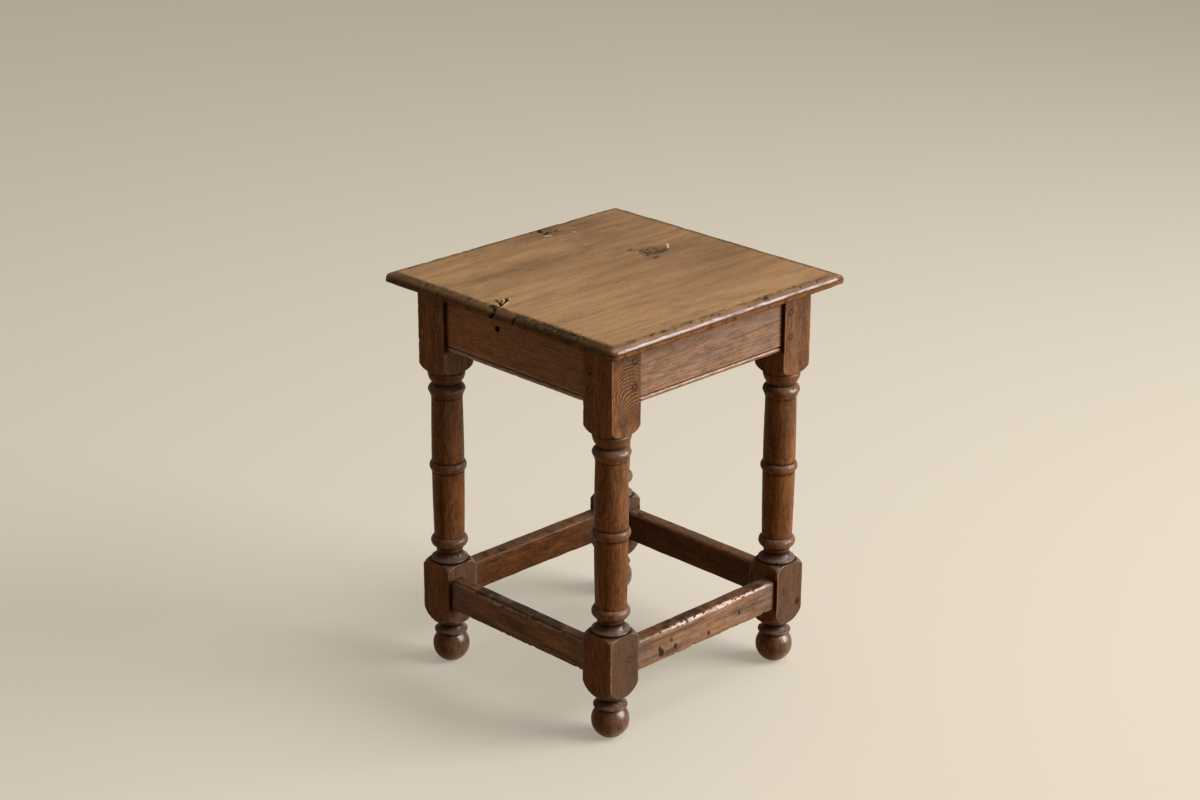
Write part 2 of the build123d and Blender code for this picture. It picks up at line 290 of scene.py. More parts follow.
def spread(values, density, count):
    """count of the values, spaced so that each step takes an equal share of the density."""
    share = np.concatenate([[0], np.cumsum((density[1:] + density[:-1]) / 2)])
    return np.interp(np.linspace(0, share[-1], count), share, values)


def soft_min(a, b, width):
    """The smaller of a and b, with the crease between them rounded over the given width."""
    h = np.clip(0.5 + (b - a) / (2 * width), 0, 1)
    return b * (1 - h) + a * h - width * h * (1 - h)


def trace(start, strokes, spacing=0.2):
    """Points along an outline.  Each stroke (x, y, bow) runs on to a point, and its middle
    stands bow to the right of its chord: an arc of chord c turns by 4*atan(2*bow/c)."""
    here = np.array(start, float)
    points = [here[None]]
    for x, y, bow in strokes:
        chord = np.array((x, y)) - here
        size = np.hypot(*chord)
        half_turn = 2 * math.atan(2 * (bow or 1e-6) / size)
        share = np.linspace(-1, 1, max(3, int(size / spacing) + 2))[1:, None] * half_turn
        forward = (np.sin(share) / math.sin(half_turn) + 1) / 2
        aside = (np.cos(share) - math.cos(half_turn)) / (2 * math.sin(half_turn))
        points.append(here + forward * chord + aside * np.array((chord[1], -chord[0])))
        here = here + chord
    return np.concatenate(points)


class Outline:
    """Stations along an outline with worn corners, close together where it turns.

    The outline is blurred by a bell as wide as its wear.  proud is how far each station
    stands out, along its outward normal, of the same outline blurred over reach: above
    zero on ridges and below zero in hollows.  near holds (x, y, reach, weight) for places
    where the stations crowd.
    """

    def __init__(self, points, closed, wear, reach, count, near=()):
        step = 0.2
        gaps = np.hypot(*np.diff(points, axis=0).T)
        points = points[np.concatenate([[True], gaps > 1e-6])]
        along = np.concatenate([[0], np.cumsum(gaps[gaps > 1e-6])])
        even = np.arange(0, along[-1], step)
        even = np.stack([np.interp(even, along, points[:, k]) for k in (0, 1)], axis=1)
        worn = self.blurred(even, wear / step, closed)
        broad = self.blurred(even, reach / step, closed)
        tangent = np.gradient(worn, axis=0)
        tangent /= np.linalg.norm(tangent, axis=1)[:, None] + 1e-12
        normal = np.stack([tangent[:, 1], -tangent[:, 0]], axis=1)
        bend = np.linalg.norm(np.gradient(tangent, axis=0), axis=1) / step
        density = 0.5 + 2.6 * np.sqrt(bend)
        for x, y, size, weight in near:
            density += weight * bell(np.hypot(*(worn - (x, y)).T), size)
        index = np.arange(len(worn), dtype=float)
        at = spread(index, density, count + 1 if closed else count)[:count]
        proud = ((worn - broad) * normal).sum(1)
        pick = [np.interp(at, index, column) for column in (*worn.T, *normal.T, proud)]
        self.points = np.stack(pick[0:2], axis=1)
        self.normals = np.stack(pick[2:4], axis=1)
        self.proud = pick[4]

    @staticmethod
    def blurred(points, width, closed):
        """Running mean of the points under a bell of that width, in steps."""
        side = int(4 * width) + 1
        weights = np.exp(-0.5 * (np.arange(-side, side + 1) / width) ** 2)
        padded = np.pad(points, ((side, side), (0, 0)), mode="wrap" if closed else "edge")
        return np.stack(
            [np.convolve(padded[:, k], weights / weights.sum(), "valid") for k in (0, 1)], axis=1
        )


def fan(per_side):
    """Unit directions round a square, counter-clockwise, crowded towards its corners: on
    each side they point at t = 0.3*s + 0.7*sin(s*pi/2) for s from -1 to 1."""
    s = np.linspace(-1, 1, per_side + 1)[:-1]
    t = 0.3 * s + 0.7 * np.sin(s * math.pi / 2)
    one = np.ones_like(t)
    x = np.concatenate([one, -t, -one, t])
    y = np.concatenate([t, one, -t, -one])
    return np.stack([x, y], axis=1) / np.hypot(x, y)[:, None]


def square_reach(directions, half, rounding):
    """How far a square with rounded corners reaches along each direction: half over the
    larger part of the direction, or to the circle of the corner where that is nearer."""
    parts = np.abs(directions)
    flat = half / parts.max(axis=-1)
    centre = half - rounding
    ahead = parts.sum(axis=-1) * centre
    root = ahead**2 - 2 * centre**2 + rounding**2
    in_corner = flat * parts.min(axis=-1) > centre
    return np.where(in_corner, ahead + np.sqrt(np.maximum(root, 0)), flat)


def raised(plan, heights):
    """A grid of points over a plan of the shape (rows, columns, 2), each row at its height."""
    return np.concatenate([plan, np.broadcast_to(heights[:, None, None], (*plan.shape[:2], 1))], -1)


# ------------------------------------------------------------------ meshes
def ring_quads(rows, columns):
    """Quads between the rings of a grid that is stored row by row and closed in a circle."""
    low = np.arange(rows - 1)[:, None] * columns + np.arange(columns)
    following = np.roll(low, -1, axis=1)
    return np.stack([low, following, following + columns, low + columns], axis=-1).reshape(-1, 4)


def cap(ring, pole):
    """Triangles from a ring of vertices to its pole."""
    return np.stack([np.roll(ring, -1), ring, np.full_like(ring, pole)], axis=-1)


def make_mesh(name, points, quads, triangles, marks):
    """A closed, smooth-shaded mesh.  Its corners are turned round if the volume that it
    encloses, a sixth of the sum of a . (b x c) over its triangles, comes out negative."""
    split = np.concatenate([quads[:, (0, 1, 2)], quads[:, (0, 2, 3)], triangles])
    a, b, c = (points[split[:, k]] for k in range(3))
    if (a * np.cross(b, c)).sum() < 0:
        quads, triangles = quads[:, ::-1], triangles[:, ::-1]
    mesh = bpy.data.meshes.new(name)
    mesh.vertices.add(len(points))
    mesh.vertices.foreach_set("co", (points * MM).astype(np.float32).ravel())
    corners = np.concatenate([quads.ravel(), triangles.ravel()]).astype(np.int32)
    mesh.loops.add(len(corners))
    mesh.loops.foreach_set("vertex_index", corners)
    sizes = np.repeat((4, 3), (len(quads), len(triangles)))
    mesh.polygons.add(len(sizes))
    mesh.polygons.foreach_set("loop_start", (np.cumsum(sizes) - sizes).astype(np.int32))
    mesh.update(calc_edges=True)
    mesh.shade_smooth()
    for mark, values in marks.items():
        attribute = mesh.attributes.new(mark, "FLOAT", "POINT")
        values = values if mark == "growth" else np.clip(values, 0, 1)
        attribute.data.foreach_set("value", values.astype(np.float32).ravel())
    return mesh


def ringed_mesh(name, *stacks):
    """A closed mesh of stacks of rings.  Each stack is a grid of points of the shape
    (rows, columns, 3) with a dictionary of its marks, and gets a pole at each end."""
    points, quads, triangles, start = [], [], [], 0
    marks = {mark: [] for mark in stacks[0][1]}
    for rings, grids in stacks:
        rows, columns = rings.shape[:2]
        first = np.arange(columns) + start
        foot = start + rows * columns
        points += [rings.reshape(-1, 3), rings[0].mean(0)[None], rings[-1].mean(0)[None]]
        quads.append(ring_quads(rows, columns) + start)
        triangles += [cap(first, foot)[:, ::-1], cap(first + (rows - 1) * columns, foot + 1)]
        for mark, grid in grids.items():
            marks[mark] += [grid.ravel(), (grid[0].mean(), grid[-1].mean())]
        start = foot + 2
    marks = {mark: np.concatenate(parts) for mark, parts in marks.items()}
    return make_mesh(name, *(np.concatenate(parts) for parts in (points, quads, triangles)), marks)


def dress(mesh, node, material):
    """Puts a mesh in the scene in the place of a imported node."""
    piece = bpy.data.objects.new(mesh.name, mesh)
    bpy.context.scene.collection.objects.link(piece)
    mesh.materials.append(material)
    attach(piece, "root")
    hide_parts(node)
    return piece


# ------------------------------------------------------------------ legs and pegs
# The nodes that hold pegs, and the grime on the pegs' heads: low down there is more of it.
PEG_KINDS = {"rail_pegs_": 0.0, "stretcher_pegs_": 0.4}
# Where the grain of the upper block arches, as beside a knot: leg, place of the crowns along
# X high up and low down, and how far the arches reach up.
SWIRLS = {"worn_leg_front_left": (-146.0, -131.0, 495.0)}
# Dark stains on the front face of a leg: place along X, height, size.
STAINED_LEGS = {"worn_leg_front_right": (165.4, 85.6, 4.5)}


# Heights on a leg: its collar, over the ball foot; the middle of the stretchers; the
# skirt, over the lower block; and the foot of the rails.
COLLAR, STRETCHER, SKIRT, RAIL_FOOT = 42.5, 105.0, 144.9, 435.0


def turning(half, height):
    """Half outline of a leg from the floor up, as strokes (radius, height, bow)."""
    full = half - 0.6                  # what the lathe leaves of the square at its fullest
    clear = half * math.sqrt(2) + 0.9  # swings clear of the square's arrises
    neck = full - 7.6
    column_foot = 177.2
    head = height - 113.5              # foot of the upper block
    ring = head - 34.0
    bead = column_foot + 0.505 * (ring - column_foot)
    return [
        (6.0, 0.0, 0),                          # worn flat under the foot
        (14.0, COLLAR, 13.7),                   # ball
        (full - 2.5, COLLAR, 0),
        (full - 2.5, 44.9, 0),
        (full - 11.1, 53.0, -1.7),
        (clear, 80.0, 4.35),                    # lower block, between turned shoulders
        (clear, 133.0, 0),
        (full - 2.6, 144.0, 3.0),
        (full - 2.6, SKIRT, 0),                 # flared skirt
        (full, SKIRT, 0),
        (full, 147.1, 0),
        (neck, 156.0, -1.5),
        (full - 5.1, 163.0, 0),                 # torus
        (full - 5.1, column_foot, 5.1),
        (full - 4.4, column_foot, 0),           # column in two swelling halves, with a bead
        (full - 3.0, bead - 6.2, 0.25),
        (full - 3.0, bead + 6.2, 3.0),
        (full - 4.1, ring, 0.25),
        (full - 3.1, ring, 0),                  # ring with a ledge at its foot
        (full - 3.1, ring + 1.6, 0),
        (full, ring + 8.6, 0),
        (neck, head - 18.0, 2.2),
        (full, head - 3.9, 1.5),                # cup
        (full - 2.2, head, 0.85),
        (clear, head + 16.5, 4.3),              # upper block on its turned shoulder
        (clear, height, 0),
        (0.02, height, 0),
    ]


def leg_surface(name, low, high, pegs, seed, sizes):
    """A leg as rings round its axis: the smaller of the worn square's reach and the turned
    radius, less ripples, dents and chips.  pegs are the middles of the peg heads in it."""
    centre = (low + high) / 2
    half = (high - low)[0] / 2
    height = high[2] - low[2]
    path = Outline(
        trace((0.02, 0.0), turning(half, height)), False, sizes.edge_wear, reach=3.2, count=560,
        near=[(half * 1.45, z, 16, 0.5) for z in (60, 106, 150, 420, 440, 500)],  # the blocks
    )
    rise = path.points[:, 1]
    directions = fan(34)
    shape = (len(rise), len(directions))

    # the square: its four arrises wear and chip along their height
    corners = raised(np.broadcast_to(np.sign(directions + 1e-9) * 500, (*shape, 2)), rise)
    chips = eased(0.42, 0.9, noise(corners, (90, 90, 9), seed))
    chips = chips + 0.6 * eased(0.5, 1, noise(corners, (90, 90, 4), seed + 1))
    rounding = sizes.arris_wear * (1 + 0.35 * noise(corners, (90, 90, 30), seed + 2)) + 2.3 * chips
    square = square_reach(directions[None], half, rounding)
    turned = np.broadcast_to(path.points[:, :1], shape)
    reach = soft_min(square, turned, 0.7)
    blocky = eased(-0.5, 1.5, turned - square)

    # what the years have done: shrinkage across the grain, lathe ripples, dents and chips
    grid = raised(centre[:2] + reach[..., None] * directions, rise)
    shrink_way = hashed(np.array((seed, 3, 5)), 11) * math.pi
    angle = np.arctan2(directions[:, 1], directions[:, 0])
    oval = 0.005 * reach * np.cos(angle - shrink_way) ** 2
    lathe = 0.07 * noise(rise[:, None] * UP, (9, 9, 3.1), seed + 4)[:, None]
    proud = eased(0.15, 0.9, path.proud)[:, None] * (1 - blocky)
    chipped = eased(0.35, 0.85, noise(grid, (7, 7, 4.5), seed + 5)) * proud * 0.9
    bruised = 0.4 * eased(0.2, 1, rough(grid, (10, 10, 16), seed + 6)) * (1 - 0.5 * proud)
    planed = 0.3 * (1 + noise(grid, (22, 22, 70), seed + 7)) * blocky / 2
    depth = oval + 0.05 + lathe + chipped + bruised + planed + 0.06 * rough(grid, (2.2, 2.2, 6), seed + 8, 2)

    # the wood lies flush with each peg, and dark dirt has gathered round it
    from_peg = np.min([np.linalg.norm(grid - peg, axis=-1) for peg in pegs], axis=0)
    from_peg = from_peg - sizes.peg_diameter / 2
    halo = bell(np.maximum(from_peg, 0), 0.9) * blocky
    flush = fading(0.5, 5.0, from_peg) * blocky
    depth = depth * (1 - flush) + 0.2 * flush
    stand = np.clip(reach - depth, 0.01, None)
    keep = eased(0, 6, np.minimum(rise, height - rise))[:, None]
    grid[..., :2] = centre[:2] + (stand * keep + reach * (1 - keep))[..., None] * directions

    patchy = patches(grid, (14, 14, 22), seed + 9)
    away = half - np.abs(grid[..., :2] - centre[:2]).min(axis=-1)
    arris = bell(away, 2.2) * blocky
    crest = bell(turned - square, 0.9)
    ball = fading(COLLAR - 4.5, COLLAR - 0.5, rise)[:, None]
    square_way = np.sign(directions) * (np.abs(directions) > 0.707)
    way = square_way * blocky[..., None] + directions * (1 - blocky[..., None])
    # How far each place faces the key lamp: the marks below paint the lamp's light and shade by it, and the
    # wax shines most there.
    key_lit = eased(-0.1, 0.7, way @ KEY_LAMP_SIDE)
    column = (eased(160, 178, rise) * fading(398, 416, rise))[:, None] * (1 - blocky)
    under_ball = ball * fading(4, 24, rise)[:, None]
    # Painted light: the columns are made orange on their side towards the key lamp, and 0.35 * crest is a
    # painted highlight on real wear along the crests.
    worn = most(0.75 * arris, 0.35 * crest, 0.15 * proud, 0.16 * column * key_lit, 0.6 * under_ball)
    hollow = eased(0.12, 0.8, -path.proud)[:, None] * (1 - blocky)
    ledge = np.clip(path.normals[:, 1], 0, 1)[:, None] ** 0.6 * (1 - blocky)
    low_block = (eased(50, 56, rise) * fading(150, 165, rise))[:, None]
    high_block = eased(410, 420, rise)[:, None]
    small = (1 - blocky) * (1 - column)
    # Painted shadow: a dark line under the lips of the skirt and the collar.
    lip_shadow = (bell(rise - SKIRT + 1.0, 1.1) + bell(rise - COLLAR + 1.1, 1.2))[:, None] * (1 - blocky)
    inward = grid[..., :2] * -np.sign(centre[:2]) - half + np.abs(centre[:2])
    beside = np.abs(inward) < 1.0
    margin = 2 * half - np.abs(inward[..., ::-1])
    # where rails and stretchers are let in; a stretcher reaches 20 mm up and down
    let_in = eased(RAIL_FOOT - 2, RAIL_FOOT + 3, rise)
    let_in = let_in + bell(np.maximum(np.abs(rise - STRETCHER) - 20, 0), 2.0)
    # Painted shade, with some dirt: the strips of the leg's faces beside the set-back rails and stretchers
    # are darkened.
    shaded_gap = (beside * fading(4.0, 7.5, margin)).max(axis=-1) * blocky * let_in[:, None]
    dark = name in SWIRLS
    marks = {
        "worn": worn * (0.25 + patchy),
        "grime": most(hollow, (0.7 - 0.35 * low_block) * halo, 0.9 * shaded_gap, lip_shadow) + 0.4 * chipped,
        "dust": most(
            ledge * (0.6 + 0.6 * patchy) * (1 - 0.6 * proud) * (1 - ball),
            # Painted sheen: grey on the low blocks' faces towards the key lamp.
            0.3 * low_block * blocky * key_lit,
        ),
        "polish": (0.15 + 0.85 * key_lit)
                  * most(proud, ball, 0.8 * arris, crest, 0.9 * small, 0.3 - 0.15 * low_block),
        # Painted sheen: milky on the blocks' faces towards the key lamp.
        "pale": 0.3 * patchy * blocky * key_lit,
        # Painted shade: the blocks are darker on their faces towards the key lamp.
        "deep": most(
            low_block * (0.15 + (0.7 + 0.25 * dark) * key_lit), 0.7 * ball, 0.6 * small, 0.5 * proud,
        ) + (0.25 + 0.35 * dark) * high_block * key_lit + 0.25 * column * (1 - patchy),
    }
    angle = 2 * math.pi * hashed(np.array((seed, 7, 9)), 13)
    lean = np.array((math.cos(angle), math.sin(angle), 0.0))
    marks["growth"] = growth(grid, centre + 48 * lean, UP + 0.03 * lean[[1, 0, 2]], 2.3, seed + 11)
    marks["fleck"] = 0.2 * blocky * patchy
    if name in STAINED_LEGS:
        x, z, size = STAINED_LEGS[name]
        spot = fading(0.6, 1.2, np.hypot(grid[..., 0] - x, grid[..., 2] - z) / size)
        marks["grime"] = most(marks["grime"], 0.8 * spot * (grid[..., 1] < low[1] + 2))
    if name in SWIRLS:
        crown_high, crown_low, top = SWIRLS[name]
        on_face = (grid[..., 1] < low[1] + 1.5) & (rise[:, None] > 412)
        crown = crown_low + (crown_high - crown_low) * eased(446, 466, grid[..., 2])
        aside = grid[..., 0] - crown
        arch = grid[..., 2] + aside**2 / 60 + 0.8 * noise(grid, (12, 12, 12), seed + 12)
        marks["growth"] = np.where(on_face, arch / 4.4, marks["growth"])
        shown = eased(432, 446, arch) * fading(top, top + 6, arch) * (1 - 0.6 * eased(-6, 6, aside))
        shown = shown * (0.35 + 0.75 * patchy)
        marks["fleck"] = np.where(on_face, shown, marks["fleck"])
    return ringed_mesh(name, (grid, marks))


def peg_places(node, outward, sizes):
    """Middles of a node's peg heads: its outermost vertices, parted into heaps that lie
    within a peg of each other."""
    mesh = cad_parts[node].data
    points = np.empty(len(mesh.vertices) * 3, np.float32)
    mesh.vertices.foreach_get("co", points)
    points = points.reshape(-1, 3) / MM
    rise = points @ outward
    heads = points[rise > rise.max() - 0.05]
    places = []
    while len(heads):
        near = np.linalg.norm(heads - heads[0], axis=1) <= sizes.peg_diameter * 1.01
        places.append((heads[near].min(0) + heads[near].max(0)) / 2)
        heads = heads[~near]
    return places


def peg_surface(place, outward, depth, dirt, seed, sizes):
    """Rings and marks of one hand-cut peg: a squarish section, r = R / (|cos|^p +
    |sin|^p)^(1/p), with a low domed head that is worn nearly flush with the leg.  dirt is
    the grime on its head."""
    turned = hashed(np.array((seed, 1, 2)), 3) * math.pi / 2
    angle = np.linspace(0, 2 * math.pi, 40, endpoint=False)
    power = 3.4 + 1.6 * hashed(np.array((seed, 4, 5)), 3)
    lean = angle + turned
    section = (np.abs(np.cos(lean)) ** power + np.abs(np.sin(lean)) ** power) ** (-1 / power)
    section *= 0.9 + 0.05 * np.cos(3 * angle + seed)
    # share of the radius and height above the head plane, from the hidden end outwards
    profile = np.array([
        (0.02, -depth), (0.9, -depth), (0.97, -depth + 2), (1.0, -3.0), (1.0, -0.95), (0.985, -0.75),
        (0.95, -0.6), (0.88, -0.52), (0.7, -0.47), (0.45, -0.44), (0.2, -0.42), (0.02, -0.42),
    ])
    across = np.cross(UP, outward)
    radius = sizes.peg_diameter / 2 * profile[:, :1] * section
    rings = (
        place
        + (radius * np.cos(angle))[..., None] * across
        + (radius * np.sin(angle))[..., None] * UP
        + profile[:, 1, None, None] * outward
    )
    head = eased(-1.0, -0.5, profile[:, 1])[:, None] * np.ones_like(angle)
    split = rough(rings, (1.6, 1.6, 1.6), seed + 20, 2)
    rings = rings - (0.12 * head * (1 + split))[..., None] * outward
    return rings, {"grime": most(1 - head, dirt)}


# ------------------------------------------------------------------ rails and stretchers
def rail_outline(width, height, sizes):
    """Closed section of a rail: x runs in from its outer face, y up from its foot."""
    bead, quirk = sizes.rail_bead, sizes.rail_quirk
    depth = sizes.rail_quirk_depth
    return trace((depth, 0.0), [
        (width, 0.0, 0),
        (width, height, 0),
        (0.0, height, 0),
        (0.0, bead + quirk, 0),
        (depth, bead + quirk, 0),
        (depth, bead, 0),
        (depth, 0.0, depth),
    ])


def stretcher_outline(width, height, sizes):
    """Closed section of a stretcher: the upper arrises are trodden round."""
    tread, low = sizes.tread_wear, 1.0
    bow = 1 - 1 / math.sqrt(2)
    return trace((low, 0.0), [
        (width - low, 0.0, 0),
        (width, low, low * bow),
        (width, height - tread, 0),
        (width - tread, height, tread * bow),
        (tread, height, 0),
        (0.0, height - tread, tread * bow),
        (0.0, low, 0),
        (low, 0.0, low * bow),
    ])


# The empty hole in the left rail: place along, to the right of its middle as seen from
# outside, height above the floor, and depth; and the place along of a nick beside it.
HOLE_ALONG, HOLE_HEIGHT, HOLE_DEPTH = -30.4, 490.2, 11.0
NICK_ALONG = 21.0


class Member:
    """A rail or a stretcher: an outline carried along its side, clipped to the tenon where
    it lies in the legs.  along, section and place are grids of the distance from the
    middle, to the right as seen from outside, the point of the section and the point in
    space, and outer is 1 on the face that looks outwards.  tenon is how far its tenons lie
    above its foot and below its head."""

    def __init__(self, node, side, tenon, sizes):
        self.low, self.high = node_box(node)
        self.name = "worn_" + node
        # 1 on the front and right, the sides towards the key lamp, where marks paint in its light.
        self.key_lit = 1.0 if side in ("front", "right") else 0.3
        self.outward = OUTWARD[side]
        self.way = np.cross(UP, self.outward)
        size = self.high - self.low
        self.half = abs(size @ self.way) / 2
        self.width = abs(size @ self.outward)
        self.height = size[2]
        self.shoulder = self.half - sizes.tenon_depth
        middle = (self.low + self.high) / 2
        self.origin = middle + self.outward * self.width / 2 - UP * self.height / 2
        thickness = sizes.tenon_thickness
        self.tenon_low = np.array(((self.width - thickness) / 2, tenon[0]))
        self.tenon_high = np.array(((self.width + thickness) / 2, self.height - tenon[1]))

    def lay(self, outline, count, near=()):
        """Lays the outline along the member, a little into the legs at each shoulder."""
        let_in = self.shoulder + 0.4
        shown = crowd(-let_in, let_in, count, [(-let_in, 6, 1.5), (let_in, 6, 1.5), *near])
        stations = np.concatenate([(-self.half, -let_in), shown, (let_in, self.half)])
        self.in_leg = np.zeros(len(stations), bool)
        self.in_leg[[0, 1, -2, -1]] = True
        self.outline = outline
        shape = (len(stations), len(outline.points))
        self.along = np.broadcast_to(stations[:, None], shape)
        self.section = np.broadcast_to(outline.points, (*shape, 2))
        self.place = self.put(self.along, self.section)
        self.outer = fading(0.5, 3, self.section[..., 0])

    def put(self, along, section):
        """Points in space of distances along the member and points of its section."""
        return (
            self.origin
            + along[..., None] * self.way
            - section[..., :1] * self.outward
            + section[..., 1:] * UP
        )

    def mesh(self, depth, marks, shift=0.0):
        """The member with its surface cut in by depth and moved over its section by shift;
        the tenons stay as sawn."""
        section = self.section - depth[..., None] * self.outline.normals + shift
        tenon = np.clip(self.outline.points, self.tenon_low, self.tenon_high)
        section = np.where(self.in_leg[:, None, None], tenon, section)
        return ringed_mesh(self.name, (self.put(self.along, section), marks))

    def rings(self, spacing, seed):
        """The yearly rings of the member, round a pith that lies low behind it."""
        pith = self.origin - 58 * self.outward - 26 * UP
        return growth(self.place, pith, self.way + 0.02 * UP, spacing, seed)

    def joint(self, reach):
        """1 at the shoulders, fading over reach towards the middle."""
        return bell(self.shoulder - np.abs(self.along), reach)


def rail_mesh(node, side, seed, sizes):
    """A frieze rail: planed face in long shallow scallops, a chipped bead, a dirty quirk,
    and in the left one an old empty hole."""
    rail = Member(node, side, (10.0, 12.0), sizes)
    holed = side == "left"
    hole_rise = HOLE_HEIGHT - rail.low[2]
    outline = Outline(
        rail_outline(rail.width, rail.height, sizes), True, sizes.edge_wear, reach=2.4, count=150,
        near=[(0.0, hole_rise, 4.5, 9)] if holed else (),
    )
    rail.lay(outline, 240, [(HOLE_ALONG, 4.5, 14), (NICK_ALONG, 3, 5)] if holed else ())
    x, y = rail.section[..., 0], rail.section[..., 1]
    outer, key_lit = rail.outer, rail.key_lit
    beaded = outer * fading(sizes.rail_bead, sizes.rail_bead + 1.5, y)

    scallops = 0.28 * (1 + noise(rail.place, (70, 70, 26), seed)) * outer * eased(8, 12, y)
    grain = 0.06 + 0.05 * rough(rail.place, (9, 9, 1.4), seed + 1, 2)
    chips = eased(0.3, 0.85, noise(rail.place, (8, 8, 5), seed + 2))
    chips = chips + 0.5 * eased(0.5, 0.9, noise(rail.place, (3, 3, 3), seed + 3))
    depth = scallops + grain + 1.1 * chips * beaded * fading(1.5, 3.4, y) + 0.25 * chips * beaded
    sawn = 0.35 * (1 + rough(rail.place, (16, 16, 3), seed + 4)) * (1 - outer) * eased(1.0, 4.0, x)
    depth = depth + sawn * eased(0, 6, rail.height - y)
    groove = sizes.rail_bead + sizes.rail_quirk / 2
    grime = most(bell(y - groove, 0.9), 0.8 * rail.joint(1.4), 0.6 * chips * (y < 3)) * outer
    if holed:
        away = np.hypot(rail.along - HOLE_ALONG, y - hole_rise)
        radius = sizes.hole_diameter / 2
        bore = fading(radius - 0.1, radius + 0.3, away) * (x < 1)
        rim = fading(radius + 0.7, radius + 1.3, away) * (x < 1) * (1 - bore)
        nick = bell(rail.along - NICK_ALONG, 0.9) * (x < 1)
        nick = nick * eased(rail.height - 13, rail.height - 5, y)
        depth = depth * (1 - bore) + HOLE_DEPTH * bore + 1.6 * nick + 0.7 * rim
        grime = grime + bore + nick + rim
    patchy = patches(rail.place, (24, 24, 8), seed + 5)
    ridge = eased(0.1, 0.6, outline.proud)[None] * outer * fading(rail.height - 20, rail.height, y)
    golden = (side == "left") * (0.45 + 0.4 * fading(-120, 40, rail.along))
    marks = {
        "worn": most(ridge * (0.1 + 0.6 * patchy), golden * outer * (0.4 + 0.6 * patchy)),
        # Painted shade: (1 - outer) * 0.3 makes the inner faces, which look into the frame, darker.
        "deep": key_lit * outer * (0.3 - 0.3 * patchy) + (1 - outer) * 0.3,
        "grime": grime,
        "dust": 0.5 * outer * bell(y - sizes.rail_bead, 1.4) * patchy,
        "polish": most(ridge, 0.8 * beaded, 0.45 * key_lit * outer),
        # Painted sheen: milky on the front and right faces, towards the key lamp; thinly elsewhere as bloom.
        "pale": outer * (1.0 if key_lit > 0.5 else 0.25) * (0.8 + 0.2 * patchy) * (1 - 0.6 * beaded),
        "growth": rail.rings(2.1, seed + 6),
        "fleck": 0.2 * outer * patchy,
    }
    return rail.mesh(depth, marks)


# Dark knots that go through the stretchers: place along, height, size.
STAINS = {
    "front": (
        (-81.0, 11.0, 5.0), (-84.0, 17.0, 3.4), (-56.2, 12.0, 3.2),
        (-63.5, 22.7, 2.6), (4.0, 9.0, 3.0), (60.0, 18.0, 2.4),
    ),
}


